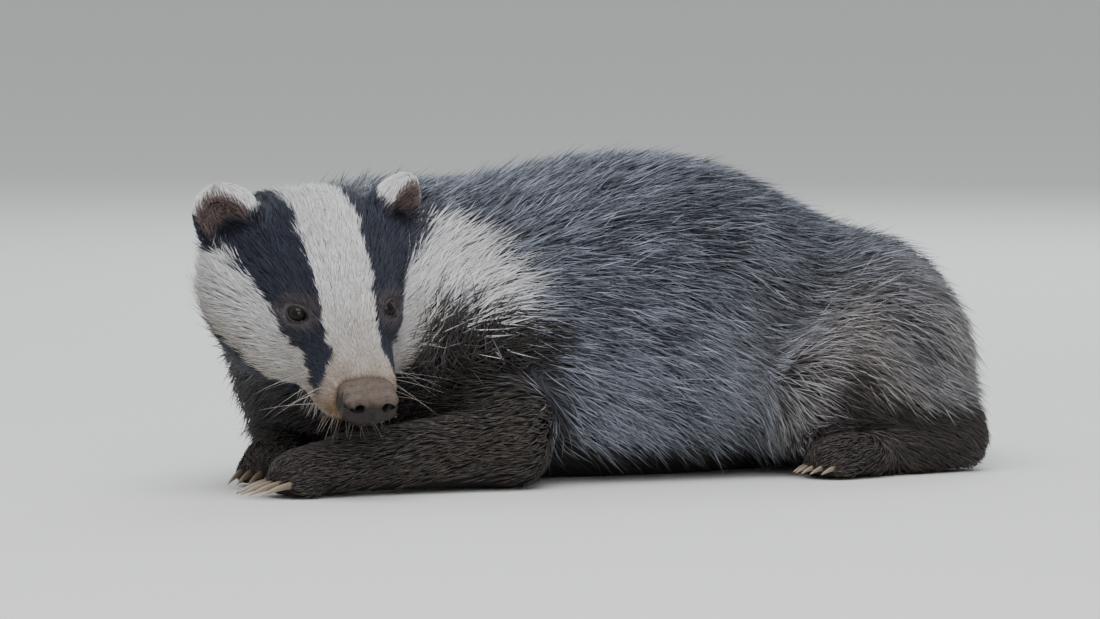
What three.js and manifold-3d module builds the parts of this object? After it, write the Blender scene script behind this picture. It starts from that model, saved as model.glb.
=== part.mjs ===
// A european badger at life size, lying on its belly with its head turned to its left.
// Millimetres. +X runs from the shoulders to the rump, -Y is the animal's left side, +Z is up, and it
// lies on z = 0. Each part of the body reaches out to the tips of its coat.
import * as THREE from "three";
import { mergeVertices } from "three/addons/utils/BufferGeometryUtils.js";
import Module from "manifold-3d";

const wasm = await Module();
wasm.setup();

const at = (x, y, z) => new THREE.Vector3(x, y, z);
const degrees = THREE.MathUtils.degToRad;

// Driving sizes
const PART_GAP = 0.3;
const EYES_AT = at(-224, -99, 105.5);
const HEAD_TURN = 84;
const HEAD_DOWN = 41;
const HEAD_ROLL = 2.5;
const EYE_RADIUS = 6.5;
const LID_THICKNESS = 1.8;
const EYE_FACES = at(0.7, 0.46, 0.52).normalize();
const EYE_AT = at(2, 29, 0).addScaledVector(EYE_FACES, -EYE_RADIUS);
const EAR_AT = at(-71, 48, 5);
const EAR_UP = at(-0.3, 0.42, 0.86).normalize();
const EAR_FACES = at(0.78, 0.52, 0.1);
const EAR_SIZE = { up: 27, deep: 12, wide: 22 };
const EAR_CUP = { up: 19.5, deep: 10, wide: 15, forward: 10 };
const NOSE_AT = at(54.3, 0, -18.3);
const NOSE_SIZE = at(11.6, 16.2, 13.6);
const HIND_PART_AT = 60;

// Depth of the coat over the skin. Where the coat is long, a core holds the roots of its locks.
const COAT = { body: 13, neck: 12, tail: 12, leg: 4, face: 3.5, cheek: 9, muzzle: 1.5, eye: 0.8 };
const CORE = { body: 4.5, neck: 4, tail: 4, cheek: 3 };

// Locks of the long coat, with the least distance between their roots
const LOCKS = {
  body: { long: 84, wide: 38, thick: 3.6, spacing: 34 },
  neck: { long: 62, wide: 30, thick: 3.2, spacing: 26 },
  tail: { long: 60, wide: 26, thick: 3, spacing: 26 },
  cheek: { long: 34, wide: 14, thick: 2.4, spacing: 11 },
};
const LOCK_SUNK = 5;
const LOCK_CLEARANCE = 0.5;
const LOWEST_LOCK = 3;
const LOWEST_ROOT = 26;
const TAIL_LOCKS_TO = 0.75;

// How far from the plane that parts two pieces the roots of their locks keep
const ROOT_MARGIN = { head: 2, neck: 4, body: 6 };

// A body is described by the distance to its skin, below zero inside.
function mass(centre, radii) {
  return (p) => {
    const q = p.clone().sub(centre).divide(radii);
    const near = q.length();
    const slope = q.divide(radii).length();
    return slope < 1e-9 ? -Math.min(radii.x, radii.y, radii.z) : (near * (near - 1)) / slope;
  };
}

function limb(from, to, thickFrom, thickTo) {
  const along = to.clone().sub(from);
  return (p) => {
    const offset = p.clone().sub(from);
    const share = THREE.MathUtils.clamp(offset.dot(along) / along.lengthSq(), 0, 1);
    return offset.addScaledVector(along, -share).length() - THREE.MathUtils.lerp(thickFrom, thickTo, share);
  };
}

function smoothMin(a, b, reach) {
  const near = Math.max(reach - Math.abs(a - b), 0) / reach;
  return Math.min(a, b) - (near * near * reach) / 4;
}

// Masses that flow into one another, each over its own reach.
function flowing(first, ...others) {
  return (p) => others.reduce((d, [reach, field]) => smoothMin(d, field(p), reach), first(p));
}

const bothSides = (field) => (p) => field(at(p.x, Math.abs(p.y), p.z));
const bell = (distance, width) => Math.exp(-0.5 * (distance / width) ** 2);
const covered = (skin, depth) => (p) => skin(p) - (typeof depth === "function" ? depth(p) : depth);

// Head, in its own frame: +X towards the nose, +Y to its left, +Z to its crown, between the eyes at 0.
const head = new THREE.Group();
head.position.copy(EYES_AT);
head.rotation.set(degrees(HEAD_ROLL), degrees(HEAD_DOWN), degrees(180 + HEAD_TURN), "ZYX");
head.updateMatrix();
const fromHead = (q) => q.clone().applyMatrix4(head.matrix);
const intoHead = head.matrix.clone().invert();
const toHead = (p) => p.clone().applyMatrix4(intoHead);

const headSkin = bothSides(
  flowing(
    mass(at(-42, 0, -10), at(40, 44, 30)),
    [22, mass(at(-66, 12, -18), at(30, 36, 30))],
    [16, limb(at(-26, 0, -9), at(42, 0, -19), 22, 13)],
    [12, limb(at(-6, 13, -22), at(37, 9, -24), 19, 14.5)],
    [16, mass(at(-58, 29, -20), at(30, 22, 24))],
    [14, mass(at(-34, 29, -36), at(44, 20, 20))],
    [14, limb(at(-52, 20, -27), at(34, 5, -33), 16, 8.5)],
    [12, mass(at(-12, 20, -10), at(22, 17, 16))],
  ),
);

// Trunk, neck and limbs, in the frame of the whole animal
const NAPE = fromHead(at(-54, 0, -36));
const neckSkin = limb(at(-140, 0, 92), NAPE, 62, 46);
const trunkSkin = flowing(
  mass(at(18, 0, 87), at(131, 94, 89)),
  [44, mass(at(142, 0, 64), at(82, 76, 61))],
  [16, mass(at(180, 0, 81), at(39, 54, 43))],
  [50, mass(at(-85, 0, 80), at(92, 80, 72))],
  [40, mass(at(-158, 0, 90), at(60, 62, 64))],
  [30, mass(at(30, 0, 45), at(150, 92, 44))],
  [24, mass(at(-158, 12, 54), at(52, 50, 50))],
  [30, bothSides(mass(at(-95, 58, 68), at(50, 32, 54)))],
  [16, bothSides(mass(at(146, 54, 60), at(60, 43, 57)))],
  [18, bothSides(limb(at(150, 72, 62), at(90, 88, 44), 42, 25))],
);
const bodySkin = flowing(trunkSkin, [40, neckSkin], [18, (p) => headSkin(toHead(p))]);
const foreleg = {
  left: flowing(limb(at(-108, -80, 40), at(-116, -92, 24), 26, 20), [
    12,
    limb(at(-116, -92, 23), at(-218, -90, 17), 21, 15),
  ]),
  right: flowing(limb(at(-108, 78, 40), at(-112, 86, 24), 26, 20), [
    12,
    limb(at(-112, 82, 24), at(-196, 14, 18), 22, 15),
  ]),
};
const hindlegSkin = flowing(limb(at(92, 94, 44), at(176, 100, 28), 23, 18), [
  10,
  limb(at(180, 104, 17), at(118, 116, 13), 16, 12),
]);

// The tail leaves the rump to its right and curls round onto the floor.
const TAIL_CURVE = new THREE.QuadraticBezierCurve3(at(206, 10, 56), at(268, 70, 10), at(226, 168, 10));
const TAIL_THICK = { root: 24, tip: 8, lengths: 5 };
function tailSkin(p) {
  const points = TAIL_CURVE.getPoints(TAIL_THICK.lengths);
  const { root, tip, lengths } = TAIL_THICK;
  const thick = points.map((_, i) => THREE.MathUtils.lerp(root, tip, i / lengths));
  return Math.min(...points.slice(1).map((end, i) => limb(points[i], end, thick[i], thick[i + 1])(p)));
}

// The face's coat is shortest round the eyes and on the muzzle, and longest on the cheeks.
const CHEEK_AT = at(-40, 48, -34);
const CHEEK_REACH = 28;
const CHEEK_LOCKS_WITHIN = 1.2 * CHEEK_REACH;
function faceCoat(q) {
  const m = at(q.x, Math.abs(q.y), q.z);
  const back = THREE.MathUtils.smoothstep(-m.x, -5, 70);
  const front = THREE.MathUtils.smoothstep(m.x, 5, 35);
  const long = COAT.face + 3 * back + CORE.cheek * bell(m.distanceTo(CHEEK_AT), CHEEK_REACH);
  const short = THREE.MathUtils.lerp(long, COAT.muzzle, front);
  return THREE.MathUtils.lerp(short, COAT.eye, bell(m.distanceTo(EYE_AT), 9));
}

// Solids
function solidOf(geometry) {
  const bare = geometry.clone();
  bare.deleteAttribute("normal");
  bare.deleteAttribute("uv");
  const merged = mergeVertices(bare, 1e-3);
  const corners = [];
  for (let i = 0; i < merged.index.count; i += 3) {
    const [a, b, c] = [0, 1, 2].map((k) => merged.index.getX(i + k));
    if (a !== b && b !== c && c !== a) corners.push(a, b, c);
  }
  return new wasm.Manifold(
    new wasm.Mesh({
      numProp: 3,
      vertProperties: merged.attributes.position.array,
      triVerts: new Uint32Array(corners),
    }),
  );
}

function geometryOf(solid) {
  const mesh = solid.getMesh();
  const geometry = new THREE.BufferGeometry();
  geometry.setAttribute("position", new THREE.BufferAttribute(mesh.vertProperties, 3));
  geometry.setIndex(new THREE.BufferAttribute(mesh.triVerts, 1));
  return geometry;
}

// The one closed body of most volume, without the scraps and slivers that a cut leaves.
const SLIVER = 0.02;
function largest(solid) {
  return solid
    .decompose()
    .reduce((a, b) => (a.volume() > b.volume() ? a : b))
    .simplify(SLIVER);
}

// Whether no edge is too short to keep, and each has exactly one face on either side once near corners
// are merged.
const SHORTEST_EDGE = 0.004;
function isSound(solid) {
  const merged = mergeVertices(geometryOf(solid), 1e-3);
  const corners = merged.index.array;
  const places = Array.from({ length: merged.attributes.position.count }, (_, i) =>
    at(0, 0, 0).fromBufferAttribute(merged.attributes.position, i),
  );
  const edges = new Set();
  for (let i = 0; i < corners.length; i += 3) {
    for (let k = 0; k < 3; k++) {
      const from = corners[i + k];
      const to = corners[i + ((k + 1) % 3)];
      const edge = `${from} ${to}`;
      if (edges.has(edge) || places[from].distanceTo(places[to]) < SHORTEST_EDGE) return false;
      edges.add(edge);
    }
  }
  return [...edges].every((edge) => edges.has(edge.split(" ").reverse().join(" ")));
}

// Keeps what lies beyond a plane, in the direction that the plane faces.
function beyond(solid, plane, gap = PART_GAP / 2) {
  const facing = plane.normal;
  return solid.trimByPlane([facing.x, facing.y, facing.z], gap - plane.constant);
}

// A capsule whose wall is pushed out from its axis until it meets the surface of a field.
function wrap(field, axis, { sides, rings, caps, reach }) {
  const capsule = new THREE.CapsuleGeometry(1, 1, caps, sides, rings);
  const position = capsule.attributes.position;
  const up = at(0, 0, 1);
  const local = at(0, 0, 0);
  for (let i = 0; i < position.count; i++) {
    local.fromBufferAttribute(position, i);
    const height = THREE.MathUtils.clamp(local.y, -0.5, 0.5);
    const foot = axis.getPointAt(height + 0.5);
    const along = axis.getTangentAt(height + 0.5);
    const side = along.clone().cross(up).normalize();
    const over = side.clone().cross(along);
    const outward = at(0, 0, 0)
      .addScaledVector(side, local.x)
      .addScaledVector(along, local.y - height)
      .addScaledVector(over, local.z)
      .normalize();
    const wall = marchOut(field, foot, outward, reach);
    position.setXYZ(i, wall.x, wall.y, wall.z);
  }
  return capsule;
}

const wrapped = (field, axis, fineness) => solidOf(wrap(field, axis, fineness));

const MARCH_STEPS = 60;
const MARCH_SHARE = 0.8;
function marchOut(field, foot, outward, reach) {
  let travelled = 0;
  const p = foot.clone();
  for (let step = 0; step < MARCH_STEPS && travelled < reach; step++) {
    travelled = Math.min(travelled - field(p) * MARCH_SHARE, reach);
    p.copy(foot).addScaledVector(outward, travelled);
  }
  return p;
}

const line = (...points) => new THREE.LineCurve3(...points);
const floor = new THREE.Plane(at(0, 0, 1), 0);
const onFloor = (solid) => beyond(solid, floor, 0);

// A ball or egg of given half sizes along its own axes.
function egg(centre, axes, radii, sides, rings) {
  const geometry = new THREE.SphereGeometry(1, sides, rings);
  geometry.scale(radii.x, radii.y, radii.z);
  geometry.applyMatrix4(new THREE.Matrix4().makeBasis(...axes).setPosition(centre));
  return solidOf(geometry);
}

const WORLD_AXES = [at(1, 0, 0), at(0, 1, 0), at(0, 0, 1)];
const flipped = (p, side) => at(p.x, p.y * side, p.z);
const SIDES = { left: 1, right: -1 };

// Planes that part the body
const planeThrough = (point, facing) =>
  new THREE.Plane().setFromNormalAndCoplanarPoint(facing.clone().normalize(), point);
const HEAD_PLANE = planeThrough(at(-56.1, 16.5, -29.7), at(0.85, -0.25, 0.45));
const NECK_PLANE = planeThrough(at(-150, 0, 150), at(-0.75, -0.35, 0.56));
const HIND_PLANE = planeThrough(at(HIND_PART_AT, 0, 0), at(1, 0, 0));
const inWorld = (plane) => plane.clone().applyMatrix4(head.matrix);
const inHead = (plane) => plane.clone().applyMatrix4(intoHead);
const reversed = (plane) => plane.clone().negate();

// The lie of the coat follows the spine from nose to tail and sinks a little on the flanks.
const SPINE = new THREE.CatmullRomCurve3([
  fromHead(at(60, 0, -6)),
  fromHead(at(0, 0, 10)),
  fromHead(at(-50, 0, 20)),
  at(-196, -30, 146),
  at(-140, -4, 146),
  at(0, 0, 150),
  at(140, 0, 112),
  at(216, 6, 62),
]);
const SPINE_STEPS = 40;
const SPINE_BLUR = 32;
const FLANK_DROOP = 0.32;
const spineMarks = SPINE.getSpacedPoints(SPINE_STEPS).map((point, i) => ({
  point,
  along: SPINE.getTangentAt(i / SPINE_STEPS),
}));
function bodyLie(p) {
  const gaps = spineMarks.map(({ point }) => point.distanceToSquared(p));
  const nearest = Math.min(...gaps);
  const lie = at(0, 0, -FLANK_DROOP * THREE.MathUtils.smoothstep(Math.sqrt(nearest), 50, 110));
  const weights = gaps.map((gap) => Math.exp((nearest - gap) / (2 * SPINE_BLUR ** 2)));
  const whole = weights.reduce((a, b) => a + b);
  spineMarks.forEach(({ along }, i) => lie.addScaledVector(along, weights[i] / whole));
  return lie;
}
const cheekLie = (q) => at(-0.85, 0.4 * Math.sign(q.y), -0.36);
const TAIL_MARKS = 20;
function alongTail(p) {
  const gaps = TAIL_CURVE.getPoints(TAIL_MARKS).map((mark) => mark.distanceTo(p));
  return gaps.indexOf(Math.min(...gaps)) / TAIL_MARKS;
}
const tailLie = (p) => TAIL_CURVE.getTangent(alongTail(p));

const NUDGE = 0.5;
function facingOut(field, p) {
  const slope = at(0, 0, 0);
  for (const axis of ["x", "y", "z"]) {
    const ahead = p.clone();
    const behind = p.clone();
    ahead[axis] += NUDGE;
    behind[axis] -= NUDGE;
    slope[axis] = field(ahead) - field(behind);
  }
  return slope.normalize();
}

// A seeded draw, the same on every run
function drawFrom(seed) {
  let state = seed;
  return () => {
    state = (state + 0x6d2b79f5) | 0;
    let t = Math.imul(state ^ (state >>> 15), 1 | state);
    t = (t + Math.imul(t ^ (t >>> 7), 61 | t)) ^ t;
    return ((t ^ (t >>> 14)) >>> 0) / 4294967296;
  };
}

// Along a lock: its share of the full width and of the full thickness, from the root to the tip
const LOCK_WIDTHS = [0.7, 1, 0.72, 0];
const LOCK_THICKS = [1, 1, 0.7, 0];
const LOCK_RISE = 0.9;
const LOCK_TRIES = [1, 0.8, 0.62];
const LOCK_VARIES = 0.15;
const LOCK_YAW = degrees(11);

// A lock is a prism of three sides, flattened, bent along the lie of the coat and lifted towards its tip.
function lockForm(field, root, lie, { long, wide, thick, lift, yaw }, swell) {
  const spans = LOCK_WIDTHS.length - 1;
  const frames = [];
  const foot = root.clone();
  for (let k = 0; k <= spans; k++) {
    const out = facingOut(field, foot);
    const along = lie(foot).projectOnPlane(out).normalize().applyAxisAngle(out, yaw);
    frames.push({ foot: foot.clone(), out, across: along.clone().cross(out) });
    foot.addScaledVector(along, long / spans);
    foot.addScaledVector(out, -field(foot));
  }
  const prism = new THREE.CylinderGeometry(1, 1, 1, 3, spans);
  const position = prism.attributes.position;
  const ridge = 1;
  const eave = -0.5;
  const eaveToEave = Math.sqrt(3);
  for (let i = 0; i < position.count; i++) {
    const share = position.getY(i) + 0.5;
    const k = Math.round(share * spans);
    const height = (position.getZ(i) - eave) / (ridge - eave);
    const rise = (lift + LOCK_SUNK) * share ** LOCK_RISE - LOCK_SUNK;
    const up = rise - swell + height * (LOCK_THICKS[k] * thick + 2 * swell);
    const sideways = (position.getX(i) * (LOCK_WIDTHS[k] * wide + 2 * swell)) / eaveToEave;
    const p = frames[k].foot.clone().addScaledVector(frames[k].out, up);
    p.addScaledVector(frames[k].across, sideways);
    position.setXYZ(i, p.x, p.y, p.z);
  }
  return solidOf(prism);
}

// A core with locks all over the stretch where roots are allowed. A lock that would come near another
// part is tried shorter, and left out when that is no help or when it would leave a pinched edge.
function withLocks(core, { field, axis, reach, kind, lift, lie, allowed, others, seed }) {
  const size = LOCKS[kind];
  const fine = wrap(field, axis, { sides: 48, rings: 24, caps: 12, reach }).attributes.position;
  const draw = drawFrom(seed);
  const varied = (amount) => 1 + amount * (2 * draw() - 1);
  const places = Array.from({ length: fine.count }, (_, i) => {
    const place = at(0, 0, 0).fromBufferAttribute(fine, i);
    return [draw(), place];
  });
  places.sort((a, b) => a[0] - b[0]);
  const roots = [];
  let coated = core;
  for (const [, root] of places) {
    if (!allowed(root) || roots.some((other) => other.distanceTo(root) < size.spacing)) continue;
    const own = {
      ...size,
      wide: size.wide * varied(LOCK_VARIES),
      lift: lift * varied(LOCK_VARIES),
      yaw: LOCK_YAW * (2 * draw() - 1),
    };
    const full = size.long * varied(LOCK_VARIES);
    const share = LOCK_TRIES.find((shorter) => {
      const room = lockForm(field, root, lie, { ...own, long: full * shorter }, LOCK_CLEARANCE);
      return others.every((other) => other.intersect(room).isEmpty());
    });
    if (share === undefined) continue;
    const joined = largest(coated.add(lockForm(field, root, lie, { ...own, long: full * share }, 0)));
    if (!isSound(joined)) continue;
    roots.push(root);
    coated = joined;
  }
  return coated;
}

// Ears: a rounded cup on each side of the crown
function earFrame(side) {
  const up = flipped(EAR_UP, side);
  const facing = flipped(EAR_FACES, side);
  facing.addScaledVector(up, -facing.dot(up)).normalize();
  return [up, facing, up.clone().cross(facing)];
}

function earShell(side, swell) {
  const radii = at(EAR_SIZE.up, EAR_SIZE.deep, EAR_SIZE.wide).addScalar(swell);
  return egg(flipped(EAR_AT, side), earFrame(side), radii, 12, 9);
}

function makeEar(side) {
  const axes = earFrame(side);
  const cupAt = flipped(EAR_AT, side).addScaledVector(axes[1], EAR_CUP.forward).addScaledVector(axes[0], 1);
  const cup = egg(cupAt, axes, at(EAR_CUP.up, EAR_CUP.deep, EAR_CUP.wide), 11, 7);
  return largest(earShell(side, 0).subtract(cup).subtract(headForm(PART_GAP)));
}

// Head: a wrapped skull with lids, a line of the mouth and the room for eyes and nose
const HEAD_AXIS = line(at(-56, 0, -8), at(40, 0, -16));
const HEAD_REACH = 75;
const headAndNeckSkin = flowing(headSkin, [18, (q) => neckSkin(fromHead(q))]);
const headCore = covered(headAndNeckSkin, faceCoat);
function headForm(swell, sides = 30, rings = 12) {
  return wrapped(covered(headCore, swell), HEAD_AXIS, { sides, rings, caps: 5, reach: HEAD_REACH });
}

// The opening between the lids is a lens, wider than high, cut along the way the eye faces.
const LID_OPENING = { wide: 6.2, upper: 3.9, lower: 3.1, deep: 20 };
function lidOpening(side) {
  const lens = new THREE.Shape();
  lens.moveTo(-LID_OPENING.wide, 0);
  lens.quadraticCurveTo(0, 2 * LID_OPENING.upper, LID_OPENING.wide, 0);
  lens.quadraticCurveTo(0, -2 * LID_OPENING.lower, -LID_OPENING.wide, 0);
  const geometry = new THREE.ExtrudeGeometry(lens, {
    depth: LID_OPENING.deep,
    bevelEnabled: false,
    curveSegments: 5,
  });
  const facing = flipped(EYE_FACES, side);
  const across = at(0, 0, 1).cross(facing).normalize();
  const upward = facing.clone().cross(across);
  geometry.applyMatrix4(
    new THREE.Matrix4().makeBasis(across, upward, facing).setPosition(flipped(EYE_AT, side)),
  );
  return solidOf(geometry);
}

// The line of the mouth is a shallow groove round the muzzle, from corner to corner.
const MOUTH = { front: [64, -33], dip: [24, -41], corner: [-8, -30], wide: 1.3, deep: 2.8, half: 45 };
function mouthGroove() {
  const centre = new THREE.QuadraticBezierCurve(
    new THREE.Vector2(...MOUTH.front),
    new THREE.Vector2(...MOUTH.dip),
    new THREE.Vector2(...MOUTH.corner),
  );
  const upper = [];
  const lower = [];
  const steps = 8;
  for (let i = 0; i <= steps; i++) {
    const point = centre.getPoint(i / steps);
    upper.push(point.clone().add(new THREE.Vector2(0, MOUTH.wide / 2)));
    lower.unshift(point.clone().add(new THREE.Vector2(0, -MOUTH.wide / 2)));
  }
  const band = new THREE.ExtrudeGeometry(new THREE.Shape([...upper, ...lower]), {
    depth: 2 * MOUTH.half,
    bevelEnabled: false,
  });
  band.rotateX(Math.PI / 2);
  band.translate(0, MOUTH.half, 0);
  return solidOf(band).subtract(headForm(-MOUTH.deep, 20, 10));
}

const NOSE_PLANE = planeThrough(at(49, 0, -18), at(1, 0, 0.25));
function noseForm(swell) {
  const radii = NOSE_SIZE.clone().addScalar(swell);
  return beyond(egg(NOSE_AT, WORLD_AXES, radii, 16, 12), NOSE_PLANE, -swell);
}

const NOSTRIL_AT = at(63, 6.5, -20.2);
const NOSTRIL_SIZE = at(4.5, 2.6, 3.2);
const NOSTRIL_SLIT_AT = at(59.4, 12.4, -19.2);
const NOSTRIL_SLIT_SIZE = at(5, 3.4, 1.3);
function makeNosePad() {
  let pad = noseForm(0);
  for (const side of Object.values(SIDES)) {
    pad = pad.subtract(egg(flipped(NOSTRIL_AT, side), WORLD_AXES, NOSTRIL_SIZE, 8, 6));
    pad = pad.subtract(egg(flipped(NOSTRIL_SLIT_AT, side), WORLD_AXES, NOSTRIL_SLIT_SIZE, 6, 4));
  }
  return largest(pad);
}

const eyeBall = (side, radius) => egg(flipped(EYE_AT, side), WORLD_AXES, at(radius, radius, radius), 12, 8);

function makeHead() {
  let solid = headForm(0);
  for (const side of Object.values(SIDES)) {
    solid = solid.add(eyeBall(side, EYE_RADIUS + LID_THICKNESS));
  }
  for (const side of Object.values(SIDES)) {
    solid = solid.subtract(eyeBall(side, EYE_RADIUS + PART_GAP)).subtract(lidOpening(side));
  }
  solid = solid.subtract(noseForm(PART_GAP)).subtract(mouthGroove());
  return largest(beyond(beyond(solid, HEAD_PLANE), inHead(NECK_PLANE)));
}

// Neck, trunk and tail
const NECK_AXIS = line(at(-158, -4, 98), fromHead(at(-60, 0, -12)));
const TORSO_AXIS = line(at(-150, 4, 76), at(80, 0, 72));
const HIND_AXIS = line(at(40, 0, 66), at(150, 0, 58));
const neckField = covered(bodySkin, CORE.neck);
const bodyField = covered(bodySkin, CORE.body);
const tailField = covered(tailSkin, CORE.tail);
const NECK_REACH = 130;
const BODY_REACH = 160;
const TAIL_REACH = 60;

function makeNeckCore() {
  const solid = wrapped(neckField, NECK_AXIS, { sides: 20, rings: 5, caps: 5, reach: NECK_REACH });
  const parted = beyond(beyond(solid, NECK_PLANE), reversed(inWorld(HEAD_PLANE)));
  return largest(onFloor(parted).subtract(limbRoom));
}

function makeTorsoCore() {
  const solid = wrapped(bodyField, TORSO_AXIS, { sides: 27, rings: 10, caps: 5, reach: BODY_REACH });
  const parted = beyond(beyond(solid, reversed(NECK_PLANE)), reversed(HIND_PLANE));
  return largest(onFloor(parted).subtract(limbRoom));
}

function makeHindCore() {
  const solid = wrapped(bodyField, HIND_AXIS, { sides: 24, rings: 5, caps: 6, reach: BODY_REACH });
  return largest(onFloor(beyond(solid, HIND_PLANE)).subtract(limbRoom));
}

function tailForm(swell) {
  const coat = covered(tailField, swell);
  return onFloor(wrapped(coat, TAIL_CURVE, { sides: 12, rings: 6, caps: 3, reach: TAIL_REACH }));
}

// Legs lie folded on the floor.
const FORELEG_AXIS = {
  left: line(at(-104, -86, 34), at(-214, -90, 18)),
  right: line(at(-106, 82, 34), at(-192, 17, 19)),
};
function forelegForm(which, swell) {
  const coat = covered(foreleg[which], COAT.leg + swell);
  return onFloor(wrapped(coat, FORELEG_AXIS[which], { sides: 12, rings: 5, caps: 3, reach: 60 }));
}

function hindlegForm(side, swell) {
  const coat = covered(bothSides(hindlegSkin), COAT.leg + swell);
  const axis = line(at(98, -side * 100, 30), at(176, -side * 102, 22));
  return onFloor(wrapped(coat, axis, { sides: 12, rings: 5, caps: 3, reach: 60 }));
}

// Paws, each in a frame of its own: +X towards the claws, +Z up, on the floor.
const FOREPAW = {
  palm: { centre: at(0, 0, 14), radii: at(28, 20, 15) },
  toe: { first: 17, arc: 1.3, spread: 7.2, high: 8, radii: at(12, 5, 7.5) },
  claw: { long: 26, thick: 2.6, drop: 6 },
};
const HINDPAW = {
  palm: { centre: at(0, 0, 12), radii: at(28, 18, 14) },
  toe: { first: 17, arc: 1.1, spread: 6.4, high: 7, radii: at(10, 4.4, 6.5) },
  claw: { long: 15, thick: 2.1, drop: 4 },
};
const PAW_PLACES = {
  forepaw_left: { size: FOREPAW, at: at(-238, -90, 0), heading: 180 },
  forepaw_right: { size: FOREPAW, at: at(-214, -4, 0), heading: 219 },
  hindpaw_left: { size: HINDPAW, at: at(98, -121, 0), heading: 188 },
  hindpaw_right: { size: HINDPAW, at: at(98, 121, 0), heading: 172 },
};
const TOES = [-2, -1, 0, 1, 2];

// A claw tapers to its tip and curves down to the floor.
function clawForm({ long, thick, drop }, root) {
  const geometry = new THREE.ConeGeometry(1, 1, 4, 3);
  const position = geometry.attributes.position;
  for (let i = 0; i < position.count; i++) {
    const share = position.getY(i) + 0.5;
    position.setXYZ(
      i,
      root.x + long * share,
      root.y - position.getX(i) * thick * 0.8,
      root.z - drop * share * share + position.getZ(i) * thick,
    );
  }
  return solidOf(geometry);
}

const pawFrame = (place, heading) =>
  new THREE.Matrix4().makeRotationZ(degrees(heading)).setPosition(place).toArray();
function makePaw({ size, at: place, heading }) {
  const { palm, toe, claw } = size;
  const parts = [egg(palm.centre, WORLD_AXES, palm.radii, 12, 7)];
  for (const i of TOES) {
    const centre = at(toe.first - toe.arc * i * i, i * toe.spread, toe.high);
    parts.push(egg(centre, WORLD_AXES, toe.radii, 6, 5));
    const clawRoot = at(centre.x + toe.radii.x * 0.5, centre.y, toe.high + 0.5);
    parts.push(clawForm(claw, clawRoot));
  }
  return onFloor(wasm.Manifold.union(parts).transform(pawFrame(place, heading)));
}

// The room of a paw: its palm, and one flat egg round toes and claws
function pawRoom({ size, at: place, heading }) {
  const { palm, toe, claw } = size;
  const palmRoom = egg(palm.centre, WORLD_AXES, palm.radii.clone().addScalar(PART_GAP), 12, 7);
  const halfWidth = TOES.at(-1) * toe.spread + toe.radii.y;
  const halfLength = (toe.radii.x + claw.long) / 2 + toe.radii.x / 2;
  const radii = at(halfLength, halfWidth, toe.radii.z).multiplyScalar(1.25);
  const toeRoom = egg(at(toe.first + claw.long / 2, 0, toe.high), WORLD_AXES, radii, 10, 6);
  return palmRoom.add(toeRoom).transform(pawFrame(place, heading));
}

// The room that limbs, paws, ears and tail take up, with the gap round them
const limbRoom = wasm.Manifold.union([
  ...Object.keys(SIDES).map((which) => forelegForm(which, PART_GAP)),
  ...Object.values(SIDES).map((side) => hindlegForm(side, PART_GAP)),
  ...Object.values(PAW_PLACES).map(pawRoom),
  ...Object.values(SIDES).map((side) => earShell(side, PART_GAP).transform(head.matrix.toArray())),
  tailForm(2 * PART_GAP),
]);

// Looks of the parts
const finish = (color, roughness) => new THREE.MeshStandardMaterial({ color, roughness, metalness: 0 });
const FINISHES = {
  coat_grey: finish(0x6c6e76, 0.9),
  coat_dark: finish(0x1d1a1b, 0.85),
  face_white: finish(0xd8d4cf, 0.85),
  nose_leather: finish(0x4d4542, 0.55),
  eye: finish(0x14100d, 0.08),
};

function addPart(group, name, solid, material) {
  const mesh = new THREE.Mesh(geometryOf(solid), material);
  mesh.name = name;
  group.add(mesh);
  return mesh;
}

// Cores and limbs first, then the locks from nose to tail, each part clear of the finished ones before it
const headMatrix = head.matrix.toArray();
const headInverse = intoHead.toArray();
const ears = Object.values(SIDES).map(makeEar);
const earsInWorld = ears.map((ear) => ear.transform(headMatrix));
const limbs = {};
for (const [name, side] of Object.entries(SIDES)) {
  const forepaw = makePaw(PAW_PLACES[`forepaw_${name}`]);
  const hindpaw = makePaw(PAW_PLACES[`hindpaw_${name}`]);
  limbs[`foreleg_${name}`] = largest(forelegForm(name, 0));
  limbs[`hindleg_${name}`] = largest(hindlegForm(side, 0));
  limbs[`forepaw_${name}`] = largest(forepaw.subtract(forelegForm(name, PART_GAP)));
  limbs[`hindpaw_${name}`] = largest(hindpaw.subtract(hindlegForm(side, PART_GAP)));
}
const nearFloor = solidOf(new THREE.BoxGeometry(1000, 1000, 2 * LOWEST_LOCK));
const always = [...earsInWorld, ...Object.values(limbs), nearFloor];
const past = (plane, p) => plane.distanceToPoint(p);
const near = (a, b, reach) => a.distanceTo(b) < reach;
const neckCore = makeNeckCore();
const torsoCore = makeTorsoCore();
const hindCore = makeHindCore();
const tailCore = largest(tailForm(0));

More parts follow.
